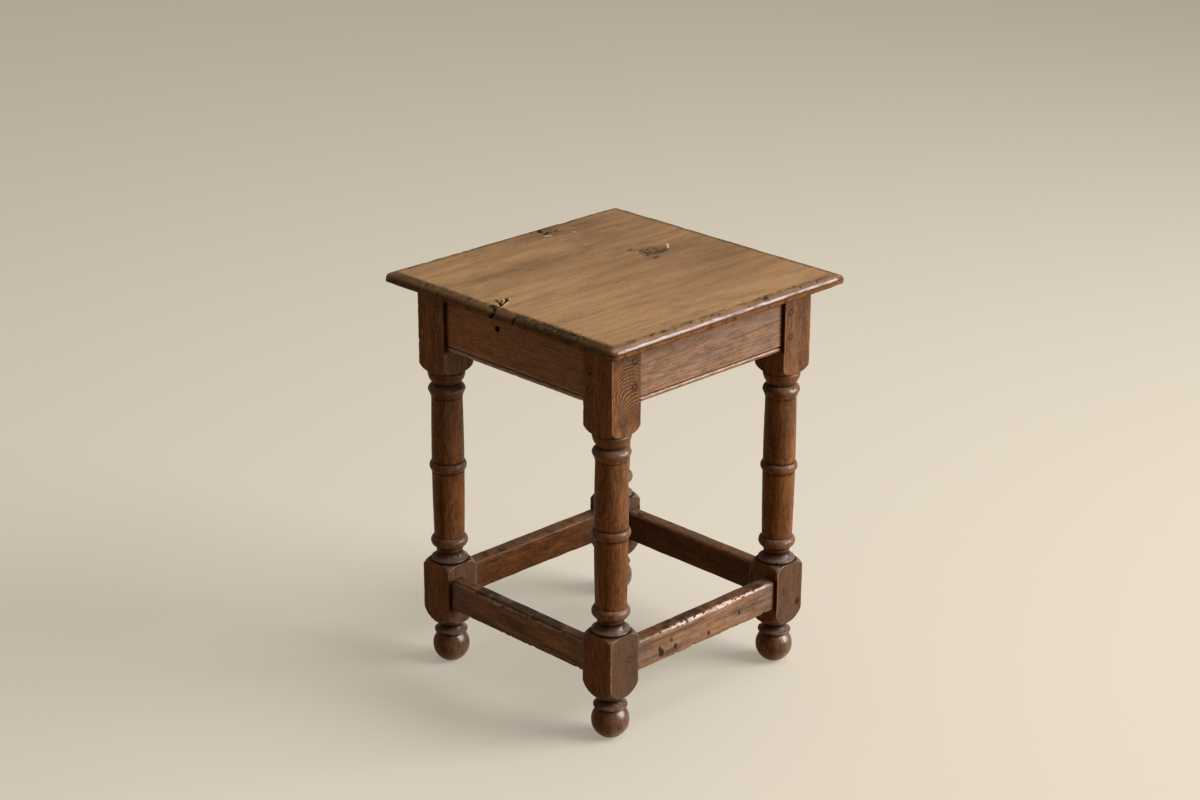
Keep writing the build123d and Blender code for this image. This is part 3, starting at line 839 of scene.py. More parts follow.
def stretcher_mesh(node, side, seed, sizes):
    """A stretcher: its outer upper arris is trodden away in the middle, its foot is sawn
    unevenly, and its faces carry kicks and scrapes."""
    member = Member(node, side, (5.5, 5.5), sizes)
    outline = Outline(
        stretcher_outline(member.width, member.height, sizes), True, sizes.edge_wear,
        reach=2.6, count=130, near=[(0.0, member.height, 9, 0.8)],
    )
    member.lay(outline, 230)
    x, y = member.section[..., 0], member.section[..., 1]
    outer_arris = bell(np.hypot(x, member.height - y), 7.5)
    inner_arris = bell(np.hypot(member.width - x, member.height - y), 5.0)
    trodden = 0.6 + 0.4 * np.cos(member.along / member.shoulder * math.pi / 2)
    waves = 0.5 + 0.5 * noise(member.place, (34, 34, 60), seed)
    chips = eased(0.35, 0.85, noise(member.place, (9, 9, 6), seed + 1))
    fine = noise(member.place, (2.6, 2.6, 4), seed + 2)
    nicks = eased(0.42, 0.8, fine)
    # feet have worn a slope along the outer upper arris, where x/over + fall/down < 1
    fall = member.height - y
    over = 1.8 + trodden * (0.8 + 1.2 * waves)
    down = 2.8 + trodden * (1.2 + 2.2 * waves)
    steep = 1 / np.hypot(1 / over, 1 / down)
    lack = (1 - x / over - fall / down) * steep
    slope = (lack + np.sqrt(lack**2 + 0.25)) / 2 - 0.01
    shift = slope[..., None] * np.stack([steep / over, -steep / down], axis=-1)
    on_slope = eased(0.1, 0.7, slope)
    dented = 0.2 * noise(member.place, (7, 7, 5), seed + 10)
    depth = on_slope * (0.6 * chips + 0.6 * nicks + dented)
    depth = depth + inner_arris * (0.4 + 0.7 * waves + 0.6 * chips)
    foot = fading(0, 9, y)
    broken = eased(0.3, 0.7, noise(member.place, (6, 6, 9), seed + 11))
    depth = depth + foot * (0.45 + 0.45 * noise(member.place, (20, 20, 50), seed + 3))
    depth = depth + 2.2 * most(chips, 0.9 * broken) * bell(np.hypot(x, y), 3.4)
    scrapes = 0.35 * eased(0.2, 1, rough(member.place, (12, 12, 5), seed + 4))
    top = eased(member.height - 2.5, member.height - 0.5, y)
    depth = depth + scrapes + 0.08 + 0.07 * rough(member.place, (8, 8, 1.6), seed + 5, 2)
    depth = depth + 0.5 * top * (0.5 + 0.5 * noise(member.place, (26, 26, 40), seed + 6))
    patchy = patches(member.place, (22, 22, 9), seed + 7)
    streaks = rough(member.place, 5 + 60 * np.abs(member.way), seed + 12)
    middle = fading(0.45, 0.85, np.abs(member.along) / member.shoulder)
    blackened = middle * (side == "left")
    caked = eased(0.1, 0.6, rough(member.place, (14, 14, 9), seed + 8) + 0.45 * blackened)
    slope_foot = bell(fall - down, 0.9) * fading(0.6, 2.0, x)
    arris = most(on_slope, 0.4 * outer_arris, 0.5 * inner_arris)
    low_arris = bell(np.hypot(x, y), 3.0)
    stained = 0.0
    if side in STAINS:
        stained = (0.75 + 0.4 * patchy) * most(*(
            fading(0.6, 1.15, np.hypot(member.along - place, (y - rise) * 0.8) / size)
            for place, rise, size in STAINS[side]
        ))
    outer, key_lit = member.outer, member.key_lit
    marks = {
        "worn": most(
            0.4 * arris * (0.4 + 0.6 * trodden), 0.5 * low_arris * outer, 0.25 * top,
            0.9 * slope_foot * middle, 0.45 * eased(0.05, 0.5, -streaks) * outer,
        ) * (0.3 + patchy),
        # Painted shade: 0.6 * (1 - outer) darkens the inner faces, which look into the frame.
        "deep": 0.3 * (1 - patchy) + 0.6 * top * (1 - on_slope) + 0.3 * member.joint(30)
                + 0.6 * (1 - outer) + 0.3 * on_slope + 0.9 * eased(0.05, 0.5, streaks) * outer,
        "grime": most(
            0.85 * member.joint(1.8), 0.9 * eased(0.3, 0.62, fine) * most(on_slope, low_arris),
            stained, 0.75 * caked * top, low_arris * most(broken, 0.4 * patchy),
        ),
        "dust": most(
            0.6 * top * (1 - patchy), 0.7 * top * blackened,
            0.7 * member.joint(26) * (0.4 + 0.6 * patchy),
        ),
        "polish": most(on_slope, 0.4 * arris, 0.35 * key_lit * outer),
        # Painted sheen: milky on the outer faces towards the key lamp.
        "pale": 1.15 * key_lit * outer * (0.35 + 0.75 * patchy) * (1 - top),
        "growth": member.rings(2.4, seed + 9),
        "fleck": 0.25 * patchy,
    }
    return member.mesh(depth, marks, shift)


# ------------------------------------------------------------------ seat board
# Cracks in the end grain at -X: start and end as (place along Y, height in the board), half
# width, depth, and how far they run in over the top.
END_CRACKS = (
    ((103.0, 14.0), (104.0, 5.0), 1.1, 3.2, 0.0),
    ((7.6, 2.5), (3.0, 7.0), 2.5, 6.0, 0.0),
    ((3.0, 7.0), (2.4, 10.5), 2.2, 5.5, 0.0),
    ((2.4, 10.5), (6.0, 13.4), 1.9, 4.5, 1.0),
    ((6.0, 13.4), (17.0, 14.0), 1.0, 2.0, 0.5),
    ((-31.8, 9.6), (-30.5, 1.5), 1.8, 5.0, 0.0),
    ((-50.0, 3.0), (-50.0, -2.0), 1.0, 2.2, 0.0),
)
# Worm-eaten and knotty places on the top: middle X and Y, half sizes along X and Y.
FLAWS = {
    "worm": (-176.0, 16.0, 11.0, 11.0),
    "knot_middle": (97.0, 28.0, 28.0, 20.0),
    "knot_back": (56.0, 180.0, 19.0, 15.0),
}
# Worm galleries and open splits on the top: start, end, half width, depth.
GALLERIES = (
    ((-176.0, 27.0), (-178.0, 17.0), 1.3, 1.8),
    ((-178.0, 17.0), (-183.0, 9.0), 2.0, 2.8),
    ((-163.0, 21.0), (-168.0, 14.0), 2.4, 2.8),
    ((-168.0, 14.0), (-182.0, 8.0), 2.0, 2.8),
    ((-182.0, 8.0), (-188.0, 5.0), 2.2, 2.8),
    ((-172.0, 19.5), (-175.0, 16.0), 1.5, 2.2),
    ((-191.0, -1.0), (-191.0, -10.0), 1.1, 1.0),
    ((50.0, 190.0), (46.0, 181.0), 2.0, 2.4),
    ((54.0, 178.0), (47.0, 174.0), 1.8, 1.8),
    ((62.0, 174.0), (66.0, 170.0), 1.5, 1.4),
    ((112.0, 23.0), (100.0, 20.0), 1.4, 1.0),
    ((120.0, 18.0), (133.0, 13.0), 1.0, 0.8),
)
# Rough knotty streaks on the top: start, end, reach.
ROUGH_STREAKS = (
    ((79.0, 52.0), (86.0, 34.0), 7.0),
    ((88.0, 34.0), (76.0, 8.0), 9.0),
    ((84.0, 20.0), (114.0, 21.0), 7.0),
    ((52.0, 190.0), (46.0, 174.0), 8.0),
    ((48.0, 178.0), (66.0, 171.0), 6.0),
)
# Torn wood that has stayed pale: start, end, half width.
BARE_PLACES = (
    ((131.0, 37.0), (119.0, 23.0), 1.5),
    ((-160.0, 19.0), (-163.0, 14.0), 1.1),
    ((-170.0, 9.0), (-184.0, 2.5), 1.1),
    ((-167.0, 20.0), (-170.0, 18.0), 1.2),
    ((78.0, 154.0), (80.0, 152.0), 1.5),
    ((40.0, 166.0), (46.0, 163.0), 2.0),
)
# Dark (above 0) and pale (below 0) clouds on the top: middle X and Y, half sizes, share.
# The widest clouds also paint a falloff of light over the top: lighter at the left and front, darker at the
# right and back.
CLOUDS = (
    (-132.0, 92.0, 50.0, 13.0, 1.1),
    (-38.0, 94.0, 54.0, 20.0, 0.7),
    (58.0, 174.0, 60.0, 18.0, 1.2),
    (112.0, 30.0, 60.0, 22.0, 0.6),
    (150.0, -50.0, 70.0, 50.0, 0.5),
    (75.0, -78.0, 80.0, 10.0, 0.35),
    (120.0, 135.0, 100.0, 46.0, 0.7),
    (-20.0, 0.0, 60.0, 40.0, 0.25),
    (-145.0, 140.0, 70.0, 36.0, -0.9),
    (-130.0, -110.0, 140.0, 90.0, -0.85),
    (-140.0, 20.0, 90.0, 70.0, -0.8),
    (60.0, -165.0, 160.0, 24.0, -0.8),
    (-20.0, 130.0, 90.0, 12.0, -0.4),
)


def seat_outline(half, drop, sizes):
    """Half section of the seat board's edge from the middle of its underside up and in to
    the foot of the flat: x is the distance from the middle, y the height."""
    under, quirk = sizes.under_round, sizes.quirk
    bow = 1 - 1 / math.sqrt(2)
    thumb_head = drop - quirk
    thumb_in = half - sizes.thumb_width
    return trace((0.02 * half, 0.0), [
        (half - under, 0.0, 0),
        (half, under, under * bow),
        (half, thumb_head - sizes.thumb_height, 0),
        (thumb_in, thumb_head, sizes.thumb_bow),
        (thumb_in - sizes.quirk_width, drop, 0),
        (thumb_in - sizes.quirk_width - 3.0, drop, 0),
    ])


def seat_mesh(node, sizes):
    """The seat board: rings carried round its edge, joined to a grid of lines over its top.
    The lines crowd where the board is cracked, knotty or worm-eaten."""
    low, high = node_box(node)
    half = (high - low)[:2] / 2
    drop = high[2] - low[2]
    edge = Outline(seat_outline(half[0], drop, sizes), False, wear=0.3, reach=2.6, count=34)
    inset = half[0] - edge.points[-1, 0]
    flat = half - inset
    places = [(x, 1.3 * size, 1.6) for x, _, size, _ in FLAWS.values()]
    places += [(-flat[0], 8, 2.0), (FLAWS["worm"][0], 11, 1.5)]
    across = crowd(-flat[0], flat[0], 196, places)
    places = [(y, 1.2 * size, 1.0) for _, y, _, size in FLAWS.values()]
    places += [(end[0], 4.0, 1.2) for _, end, *_ in END_CRACKS]
    places += [(-105.0, 75, 0.9), (-flat[1], 6, 1.2), (flat[1], 6, 0.6)]
    back = crowd(-flat[1], flat[1], 300, places)

    # top grid, row by row along Y, and the loop of its outermost vertices
    columns, rows = len(across), len(back)
    top = np.stack([*np.meshgrid(across, back), np.full((rows, columns), float(drop))], axis=-1)
    number = np.arange(rows * columns).reshape(rows, columns)
    rim = np.concatenate([number[0, :-1], number[:-1, -1], number[-1, :0:-1], number[:0:-1, 0]])
    loop = top.reshape(-1, 3)[rim, :2]
    side = np.where(np.abs(loop) > flat - 1e-6, np.sign(loop), 0.0)

    # rings: the loop grown or shrunk by the outline, with rounded corners
    beyond = edge.points[:-1, 0] - flat[0]
    outwards = np.maximum(beyond, 0)[:, None, None] * side
    shrink = 1 + np.minimum(beyond, 0)[:, None, None] / flat[0]
    rings = raised(loop * shrink + outwards, edge.points[:-1, 1])
    normals = raised(edge.normals[:-1, 0][:, None, None] * side, edge.normals[:-1, 1])
    rings, ring_marks = worn_edge(rings, normals, edge.proud[:-1], half, drop, sizes)
    top, top_marks = worn_top(top, flat, drop)

    ring_count, around = rings.shape[:2]
    points = np.concatenate([rings.reshape(-1, 3), [rings[0].mean(0)], top.reshape(-1, 3)])
    start = ring_count * around + 1
    last = np.arange(around) + (ring_count - 1) * around
    seam = np.stack([last, np.roll(last, -1), np.roll(rim, -1) + start, rim + start], axis=-1)
    cell = number[:-1, :-1] + start
    sheet = np.stack([cell, cell + 1, cell + columns + 1, cell + columns], axis=-1).reshape(-1, 4)
    quads = np.concatenate([ring_quads(ring_count, around), seam, sheet])
    triangles = cap(np.arange(around), start - 1)[:, ::-1]
    marks = {}
    for mark in ring_marks | top_marks:
        on_rings = ring_marks.get(mark, np.zeros(rings.shape[:2])).ravel()
        on_top = top_marks.get(mark, np.zeros(top.shape[:2])).ravel()
        marks[mark] = np.concatenate([on_rings, [0], on_top])
    points = np.clip(points + (0, 0, low[2]), low, high)
    return make_mesh("worn_" + node, points, quads, triangles, marks)


def flaw_field(x, y, name):
    """1 in the middle of a flaw of the board, 0 beyond its half sizes."""
    middle_x, middle_y, size_x, size_y = FLAWS[name]
    return fading(0.35, 1.0, np.hypot((x - middle_x) / size_x, (y - middle_y) / size_y))


def crack_depth(x, y, z, flat_x):
    """Depth of the end cracks at a point: V-shaped, a little jagged, fading as they run in."""
    depth = 0.0
    inward = np.maximum(x + flat_x + 1, 0)
    jag = 0.5 * noise(np.stack([inward, x * 0, z], -1), (2.2, 4, 2.2), 77)
    for start, end, width, deep, run in END_CRACKS:
        fade = fading(run, run + 4, inward)
        off = from_line(y + jag, z, start, end)
        depth = np.maximum(depth, deep * np.clip(1.3 - 1.3 * off / width, 0, 1) * fade)
    return depth


def crumbling(y):
    """How far the end grain has crumbled: only in front, and most at Y = -95 mm."""
    return fading(-40, -20, y) * (0.5 + 0.5 * bell(y + 95, 60))


def worn_edge(rings, normals, proud, half, drop, sizes):
    """The moulded edge with its wear: soft dents and chips along the long grain, cracks
    and crumbled fibres in the end grain at -X.  Returns the rings and their marks."""
    x, y, z = np.moveaxis(rings, -1, 0)
    end_grain = (np.abs(normals[..., 0]) > 0) | (np.abs(x) > half[0] - 9.5)
    end_grain = end_grain & (np.abs(y) < half[1] - 9)
    rim = eased(half[0] - 14, half[0] - 8, np.maximum(np.abs(x), np.abs(y) + half[0] - half[1]))
    left = end_grain * (x < 0)
    crumbled = left * crumbling(y)
    upper = eased(drop - 10, drop - 4, z)
    pits = eased(0.05, 0.5, rough(rings, (2.6, 2.6, 2.0), 37, 2)) * crumbled * upper
    soft = 0.25 * (0.5 + 0.5 * noise(rings, (26, 26, 14), 31))
    dents = 0.6 * eased(0.1, 0.85, noise(rings, (17, 17, 7), 32))
    chips = 0.9 * eased(0.4, 0.8, noise(rings, (5.0, 4.0, 3.2), 33)) * eased(drop - 4, drop - 1, z)
    fibres = (0.2 * end_grain + 0.9 * crumbled) * patches(rings, (2.2, 2.0, 1.6), 34, 2)
    cracks = crack_depth(x, y, z, half[0] - 9) * left * eased(0, 3, z)
    depth = rim * (soft + dents + chips + fibres + 0.9 * pits) + cracks
    depth = depth + 0.3 * (1 - rim) * patches(rings, (30, 5, 5), 35) * (z < 1)
    rings = rings - depth[..., None] * normals

    # corners worn round in plan: in the corner's own square, a ring of square steps
    # turns into a quarter circle
    wear = sizes.corner_wear
    offset = np.abs(rings[..., :2]) - (half - wear)
    inside = (offset > 0).all(axis=-1)
    scale = offset.max(axis=-1) / np.maximum(np.linalg.norm(offset, axis=-1), 1e-9)
    rounded = np.sign(rings[..., :2]) * (half - wear + offset * scale[..., None])
    rings[..., :2] = np.where(inside[..., None], rounded, rings[..., :2])

    patchy = patches(rings, (18, 18, 9), 36)
    ridge = eased(-0.1, 0.5, proud)[:, None]
    lower = fading(3.5, 7.0, z)
    seam = fading(0.2, 1.6, drop - z)
    thumb_foot = drop - sizes.quirk - sizes.thumb_height
    under_thumb = bell(z - thumb_foot - 0.8, 1.0) * (1 - 0.3 * end_grain)
    specks = eased(0.08, 0.4, rough(rings, (7, 7, 1.8), 38, 2)) * lower
    marks = {
        "worn": rim * (1 - 0.5 * end_grain) * lower * (0.2 + 0.6 * patchy),
        "deep": rim * ((1 - end_grain) * fading(drop - 5, drop - 1.5, z) + 0.45 * end_grain * lower),
        "grime": 1.6 * eased(0.1, 0.9, cracks) + rim * (
            0.7 * (chips > 0.3) + 0.2 * eased(0.15, 0.6, fibres) * left + 0.35 * pits
            + 0.2 * crumbled * upper + 0.6 * seam * eased(0.2, 0.75, patchy)
            # Painted shadow: fading(0.6, 2.2, z) darkens the lowest 2 mm of the edge, the shadow line under
            # it.
            + (0.35 + 0.5 * patchy) * under_thumb + 0.7 * most(specks, fading(0.6, 2.2, z))
        ),
        "dust": rim * end_grain * (0.5 + 0.5 * patchy) * (1 - 0.5 * crumbled * upper) + 0.2 * (1 - rim),
        "polish": rim * ridge * (1 - 0.8 * end_grain) * (0.2 + 0.8 * eased(4.5, 7, z))
                  * fading(0.0, 0.3, cracks),
        "cloud": 0.85 * rim + 0.9 * (1 - rim),
        "flaw": rim * crumbled * upper,
        "growth": board_rings(rings, drop),
    }
    return rings, marks


def board_rings(points, drop):
    """The yearly rings of the board: the pith ran far below it, and they bend round knots."""
    rings = growth(points, (0.0, 64.0, drop - 96.0), (1.0, 0.035, -0.02), 2.7, 61)
    for middle_x, middle_y, size_x, size_y in FLAWS.values():
        x = (points[..., 0] - middle_x) / (2.2 * size_x)
        y = (points[..., 1] - middle_y) / (1.6 * size_y)
        rings = rings + 2.2 * np.exp(-np.hypot(x, y))
    return rings


def worn_top(top, flat, drop):
    """The top of the board: gentle hollows along the grain, open cracks, knots that stand
    rough, and worm holes.  Returns the grid and its marks."""
    x, y, z = np.moveaxis(top, -1, 0)
    edge = np.minimum(flat[0] - np.abs(x), flat[1] - np.abs(y))
    plane = top * (1, 1, 0)
    hollows = 0.16 * (1 + noise(plane, (170, 34, 9), 41)) + 0.05 * (1 + noise(plane, (60, 9, 9), 42))
    galleries = 0.0
    for start, end, width, deep in GALLERIES:
        off = from_line(x + 0.9 * noise(plane, (3.2, 3.2, 9), 43), y, start, end)
        galleries = np.maximum(galleries, deep * np.clip(1.4 - 1.4 * off / width, 0, 1))
    streaks = most(*(bell(from_line(x, y, start, end), reach) for start, end, reach in ROUGH_STREAKS))
    pits = eased(0.3, 0.75, noise(plane, (3.4, 2.6, 9), 44) + 0.55 * streaks)
    pits = 0.8 * pits * eased(0.1, 0.6, streaks)
    bare = most(*(
        fading(0.6, 1.0, from_line(x, y, start, end) / width) for start, end, width in BARE_PLACES
    ))
    worm = flaw_field(x, y, "worm")
    knots = np.maximum(flaw_field(x, y, "knot_middle"), flaw_field(x, y, "knot_back"))
    cracks = crack_depth(x, y, z, flat[0])
    chips = 0.7 * eased(0.45, 0.9, noise(plane, (5, 3.4, 9), 45)) * fading(0.5, 3.2, edge)
    crumbled = (x < 0) * fading(0.5, 6.0, flat[0] + x) * crumbling(y)
    crumbs = eased(0.05, 0.5, rough(plane, (2.6, 2.6, 9), 37, 2)) * crumbled
    depth = eased(0, 3, edge) * hollows + galleries + pits + cracks + chips + 0.8 * crumbs - 0.1 * bare
    top = top - depth[..., None] * UP
    clouds = sum(
        share * bell(np.hypot((x - middle_x) / half_x, (y - middle_y) / half_y), 1.0)
        for middle_x, middle_y, half_x, half_y, share in CLOUDS
    )
    broken = eased(0.35, 0.75, patches(plane, (7, 4, 9), 46))
    long_side = flat[1] - np.abs(y) < flat[0] - np.abs(x)
    seam = fading(0.4, 2.2, edge) * np.where(long_side, 0.8 * broken, 0.3 + 0.3 * broken)
    marks = {
        "grime": most(
            1.5 * eased(0.2, 1.0, galleries), 0.5 * eased(0.15, 0.6, pits),
            1.5 * eased(0.3, 1.2, cracks), 0.8 * eased(0.1, 0.5, chips),
            0.35 * crumbs + 0.15 * crumbled, seam,
        ),
        # Besides the board's tone, the broad clouds paint a falloff of light: lighter at the left and front,
        # darker at the right and back.
        "cloud": clouds + 0.6 * fading(0, 7, edge),
        "pale": most(-clouds, 1.2 * bell(np.hypot(x + 176, y - 14), 17)),
        "bare": bare,
        "flaw": most(eased(0, 0.7, knots), 0.3 * worm, crumbled),
        "growth": board_rings(top, drop),
    }
    return top, marks


# ------------------------------------------------------------------ materials
def node(tree, kind, inputs=None, **properties):
    """Adds a node, sets its properties, and gives each input, by name or number, a value
    or the output of another node.  Returns the node's first output in use."""
    made = tree.nodes.new("ShaderNode" + kind)
    for name, value in properties.items():
        setattr(made, name, value)
    for key, value in (inputs or {}).items():
        if isinstance(value, bpy.types.NodeSocket):
            tree.links.new(value, made.inputs[key])
        else:
            made.inputs[key].default_value = value
    return next((o for o in made.outputs if o.enabled), made)


class Wood:
    """A node tree for wood, with the few steps that its layers share."""

    def __init__(self, name, grain_axis):
        self.material = bpy.data.materials.new(name)
        self.material.use_nodes = True
        self.tree = self.material.node_tree
        self.tree.nodes.clear()
        self.grain_axis = grain_axis
        self.space = self.tree.nodes.new("ShaderNodeTexCoord").outputs["Object"]

    def add(self, kind, inputs=None, **properties):
        """node() in this tree."""
        return node(self.tree, kind, inputs, **properties)

    def pattern(self, along, across, detail=3.0, distortion=0.0, offset=0.0, roughness=0.55):
        """Noise whose cells are along mm with the grain and across mm over it."""
        scale = [1000.0 / across] * 3
        scale[self.grain_axis] = 1000.0 / along
        place = self.add("Mapping", {"Vector": self.space, "Scale": scale, "Location": (offset,) * 3})
        inputs = {"Vector": place, "Scale": 1.0, "Detail": detail, "Roughness": roughness}
        return self.add("TexNoise", {**inputs, "Distortion": distortion})

    def spots(self, low, high, *cells, least=0.0, full=1.0):
        """pattern() eased from the span low-high to the span least-full."""
        inputs = {0: self.pattern(*cells), 1: low, 2: high, 3: least, 4: full}
        return self.add("MapRange", inputs, interpolation_type="SMOOTHSTEP")

    def product(self, value, *masks):
        """value times each mask, a pattern or the name of a mark on the mesh's vertices."""
        for mask in masks:
            if isinstance(mask, str):
                mask = self.add("Attribute", attribute_name=mask).node.outputs["Fac"]
            value = self.add("Math", {0: value, 1: mask}, operation="MULTIPLY")
        return value

    def laid(self, colour, *layers):
        """A colour with layers (colour, share, masks...) laid over it in turn: each covers it
        by its share times its masks."""
        colour = (*colour, 1.0)
        for above, share, *masks in layers:
            inputs = {0: self.product(share, *masks), 6: colour, 7: (*above, 1.0)}
            colour = self.add("Mix", inputs, data_type="RGBA", clamp_factor=True)
        return colour

    def ring_wave(self):
        """The sine of the ring number, 1 where a yearly ring is darkest."""
        waver = self.product(0.8, self.pattern(40, 5, 3, 0.0, 15.5))
        number = self.add("Math", {0: self.product(1.0, "growth"), 1: waver}, operation="ADD")
        return self.add("Math", {0: self.product(2 * math.pi, number)}, operation="SINE")

    def dulled(self, shine, dull, *masks):
        """The roughness shine, or dull where any of the masks is 1."""
        mask = functools.reduce(lambda a, b: self.add("Math", {0: a, 1: b}, operation="MAXIMUM"), masks)
        return self.add("Mix", {0: mask, 2: shine, 3: dull}, data_type="FLOAT")

    def wax(self, thickness):
        """How far the wax shines: where the mesh is marked as polished, and not on grime or painted shade.
        """
        polished, grime = self.product(thickness, "polish"), self.product(1.0, "grime")
        return self.add("Math", {0: polished, 1: grime}, operation="SUBTRACT", use_clamp=True)

    def finish(self, colour, roughness, height, depth_mm, **others):
        """Ends the tree in a shader with the given colour, roughness, relief and settings."""
        bump = self.add("Bump", {"Strength": 1.0, "Distance": depth_mm * MM, "Height": height})
        inputs = {"Base Color": colour, "Roughness": roughness, "Normal": bump}
        inputs.update((name.replace("_", " "), value) for name, value in others.items())
        self.add("OutputMaterial", {"Surface": self.add("BsdfPrincipled", inputs)})
        return self.material


def waxed_frame_oak(axis_name):
    """Oak, riven and turned, under centuries of wax: a deep red-brown skin that is thin and
    orange on the arrises, dark wax in the pores, silky rays, dull dust on the ledges and
    black grime in the hollows, with shade painted beside the rails and under the lips and
    a sheen painted on the faces towards the key lamp.  The wax gives it a soft, broken shine."""
    name = "Waxed turned oak, grain along " + axis_name
    if name in bpy.data.materials:
        return bpy.data.materials[name]
    tone = bpy.context.scene.stool_finish
    wood = Wood(name, "XYZ".index(axis_name))
    blotch = 0.8 if axis_name == "Z" else 0.6  # turning lays open wider blotches than splitting
    broad = wood.spots(0.4, 0.6, 130 * blotch, 26 * blotch, 3, 0.6)
    broad = wood.add("MapRange", {0: broad, 3: 0.5}, interpolation_type="SMOOTHSTEP")
    mottle = wood.spots(0.44, 0.64, 44 * blotch, 12 * blotch, 3, 0.8, 10.7)
    thinned = wood.spots(0.48, 0.64, 60 * blotch, 12 * blotch, 5, 0.6, 7.7, 0.62)
    # oak's fibres and pores are 0.02 to 0.3 mm wide, too fine to show, so they are drawn in
    # bundles 1.4 to 2 mm wide
    fibres = wood.spots(0.42, 0.6, 20 / blotch**2, 2.0, 4, 0.2, 3.1, 0.62)
    dashes = wood.spots(0.5, 0.62, 8, 1.9, 4, 0.6, 5.9, 0.62)
    pores = wood.spots(0.56, 0.7, 6.5, 1.4, 2, 0.0, 1.3, 0.6)
    wave = wood.ring_wave()
    rings = wood.add("MapRange", {0: wave, 1: -0.1, 2: 0.9}, interpolation_type="SMOOTHSTEP")
    rays = {0: wave, 1: -0.99, 2: -0.72, 3: 1.0, 4: 0.0}
    rays = wood.add("MapRange", rays, interpolation_type="SMOOTHSTEP")
    rubbed = wood.spots(0.34, 0.6, 11, 3.0, 4, 0.5, 2.2, least=0.2)
    dusty = wood.product(wood.spots(0.3, 0.65, 7, 5, 4, 0.2, 4.4, least=0.35), "dust")
    colour = wood.laid(
        tone.frame_dark,
        (tone.frame_mid, 1.0, broad),
        # This layer paints the key lamp's sheen as a milky colour on the faces towards it.
        (tone.frame_pale, 0.9, "pale"),
        (tone.frame_worn, 0.34, thinned),
        (tone.frame_dark, 0.36, mottle),
        (tone.frame_dark, 0.08, rings),
        (tone.frame_worn, 0.34, dashes),
        (tone.frame_dark, 0.4, fibres),
        # This layer also paints shade: the blocks darker on their faces towards the key lamp, and the rails'
        # and stretchers' inner faces darker.
        (tone.frame_dark, 0.7, "deep"),
        (tone.ray_fleck, 0.9, "fleck", rays),
        (tone.pore, 0.4, pores),
        # This layer also paints light on the columns' lit side and along the blocks' crests.
        (tone.frame_worn, 0.85, "worn", rubbed),
        # This layer also paints sheen on the low blocks' faces towards the key lamp.
        (tone.dust, 0.82, dusty),
        # This layer also paints shade beside the rails and stretchers, under the legs' lips and along the
        # foot of the seat's edge.
        (tone.grime, 0.88, "grime"),
    )
    shine = wood.spots(0.3, 0.7, 30, 7, 4, 0.3, 8.8, least=0.42, full=0.56)
    relief = wood.product(0.5, wood.pattern(10, 1.5, 3, 0.0, 6.6))
    for height, share in ((pores, -0.25), (wood.pattern(17, 6, 3, 0.0, 12.5), 0.9)):
        relief = wood.add("Math", {0: height, 1: share, 2: relief}, operation="MULTIPLY_ADD")
    return wood.finish(
        colour, wood.dulled(shine, 0.78, dusty, pores), relief, 0.4,
        Coat_Weight=wood.wax(wood.spots(0.34, 0.56, 14, 4, 4, 0.3, 9.9, least=0.45)),
        Specular_IOR_Level=0.1, Coat_Roughness=0.32, Coat_IOR=1.65,
        Specular_Tint=(*tone.frame_worn, 1.0),
    )


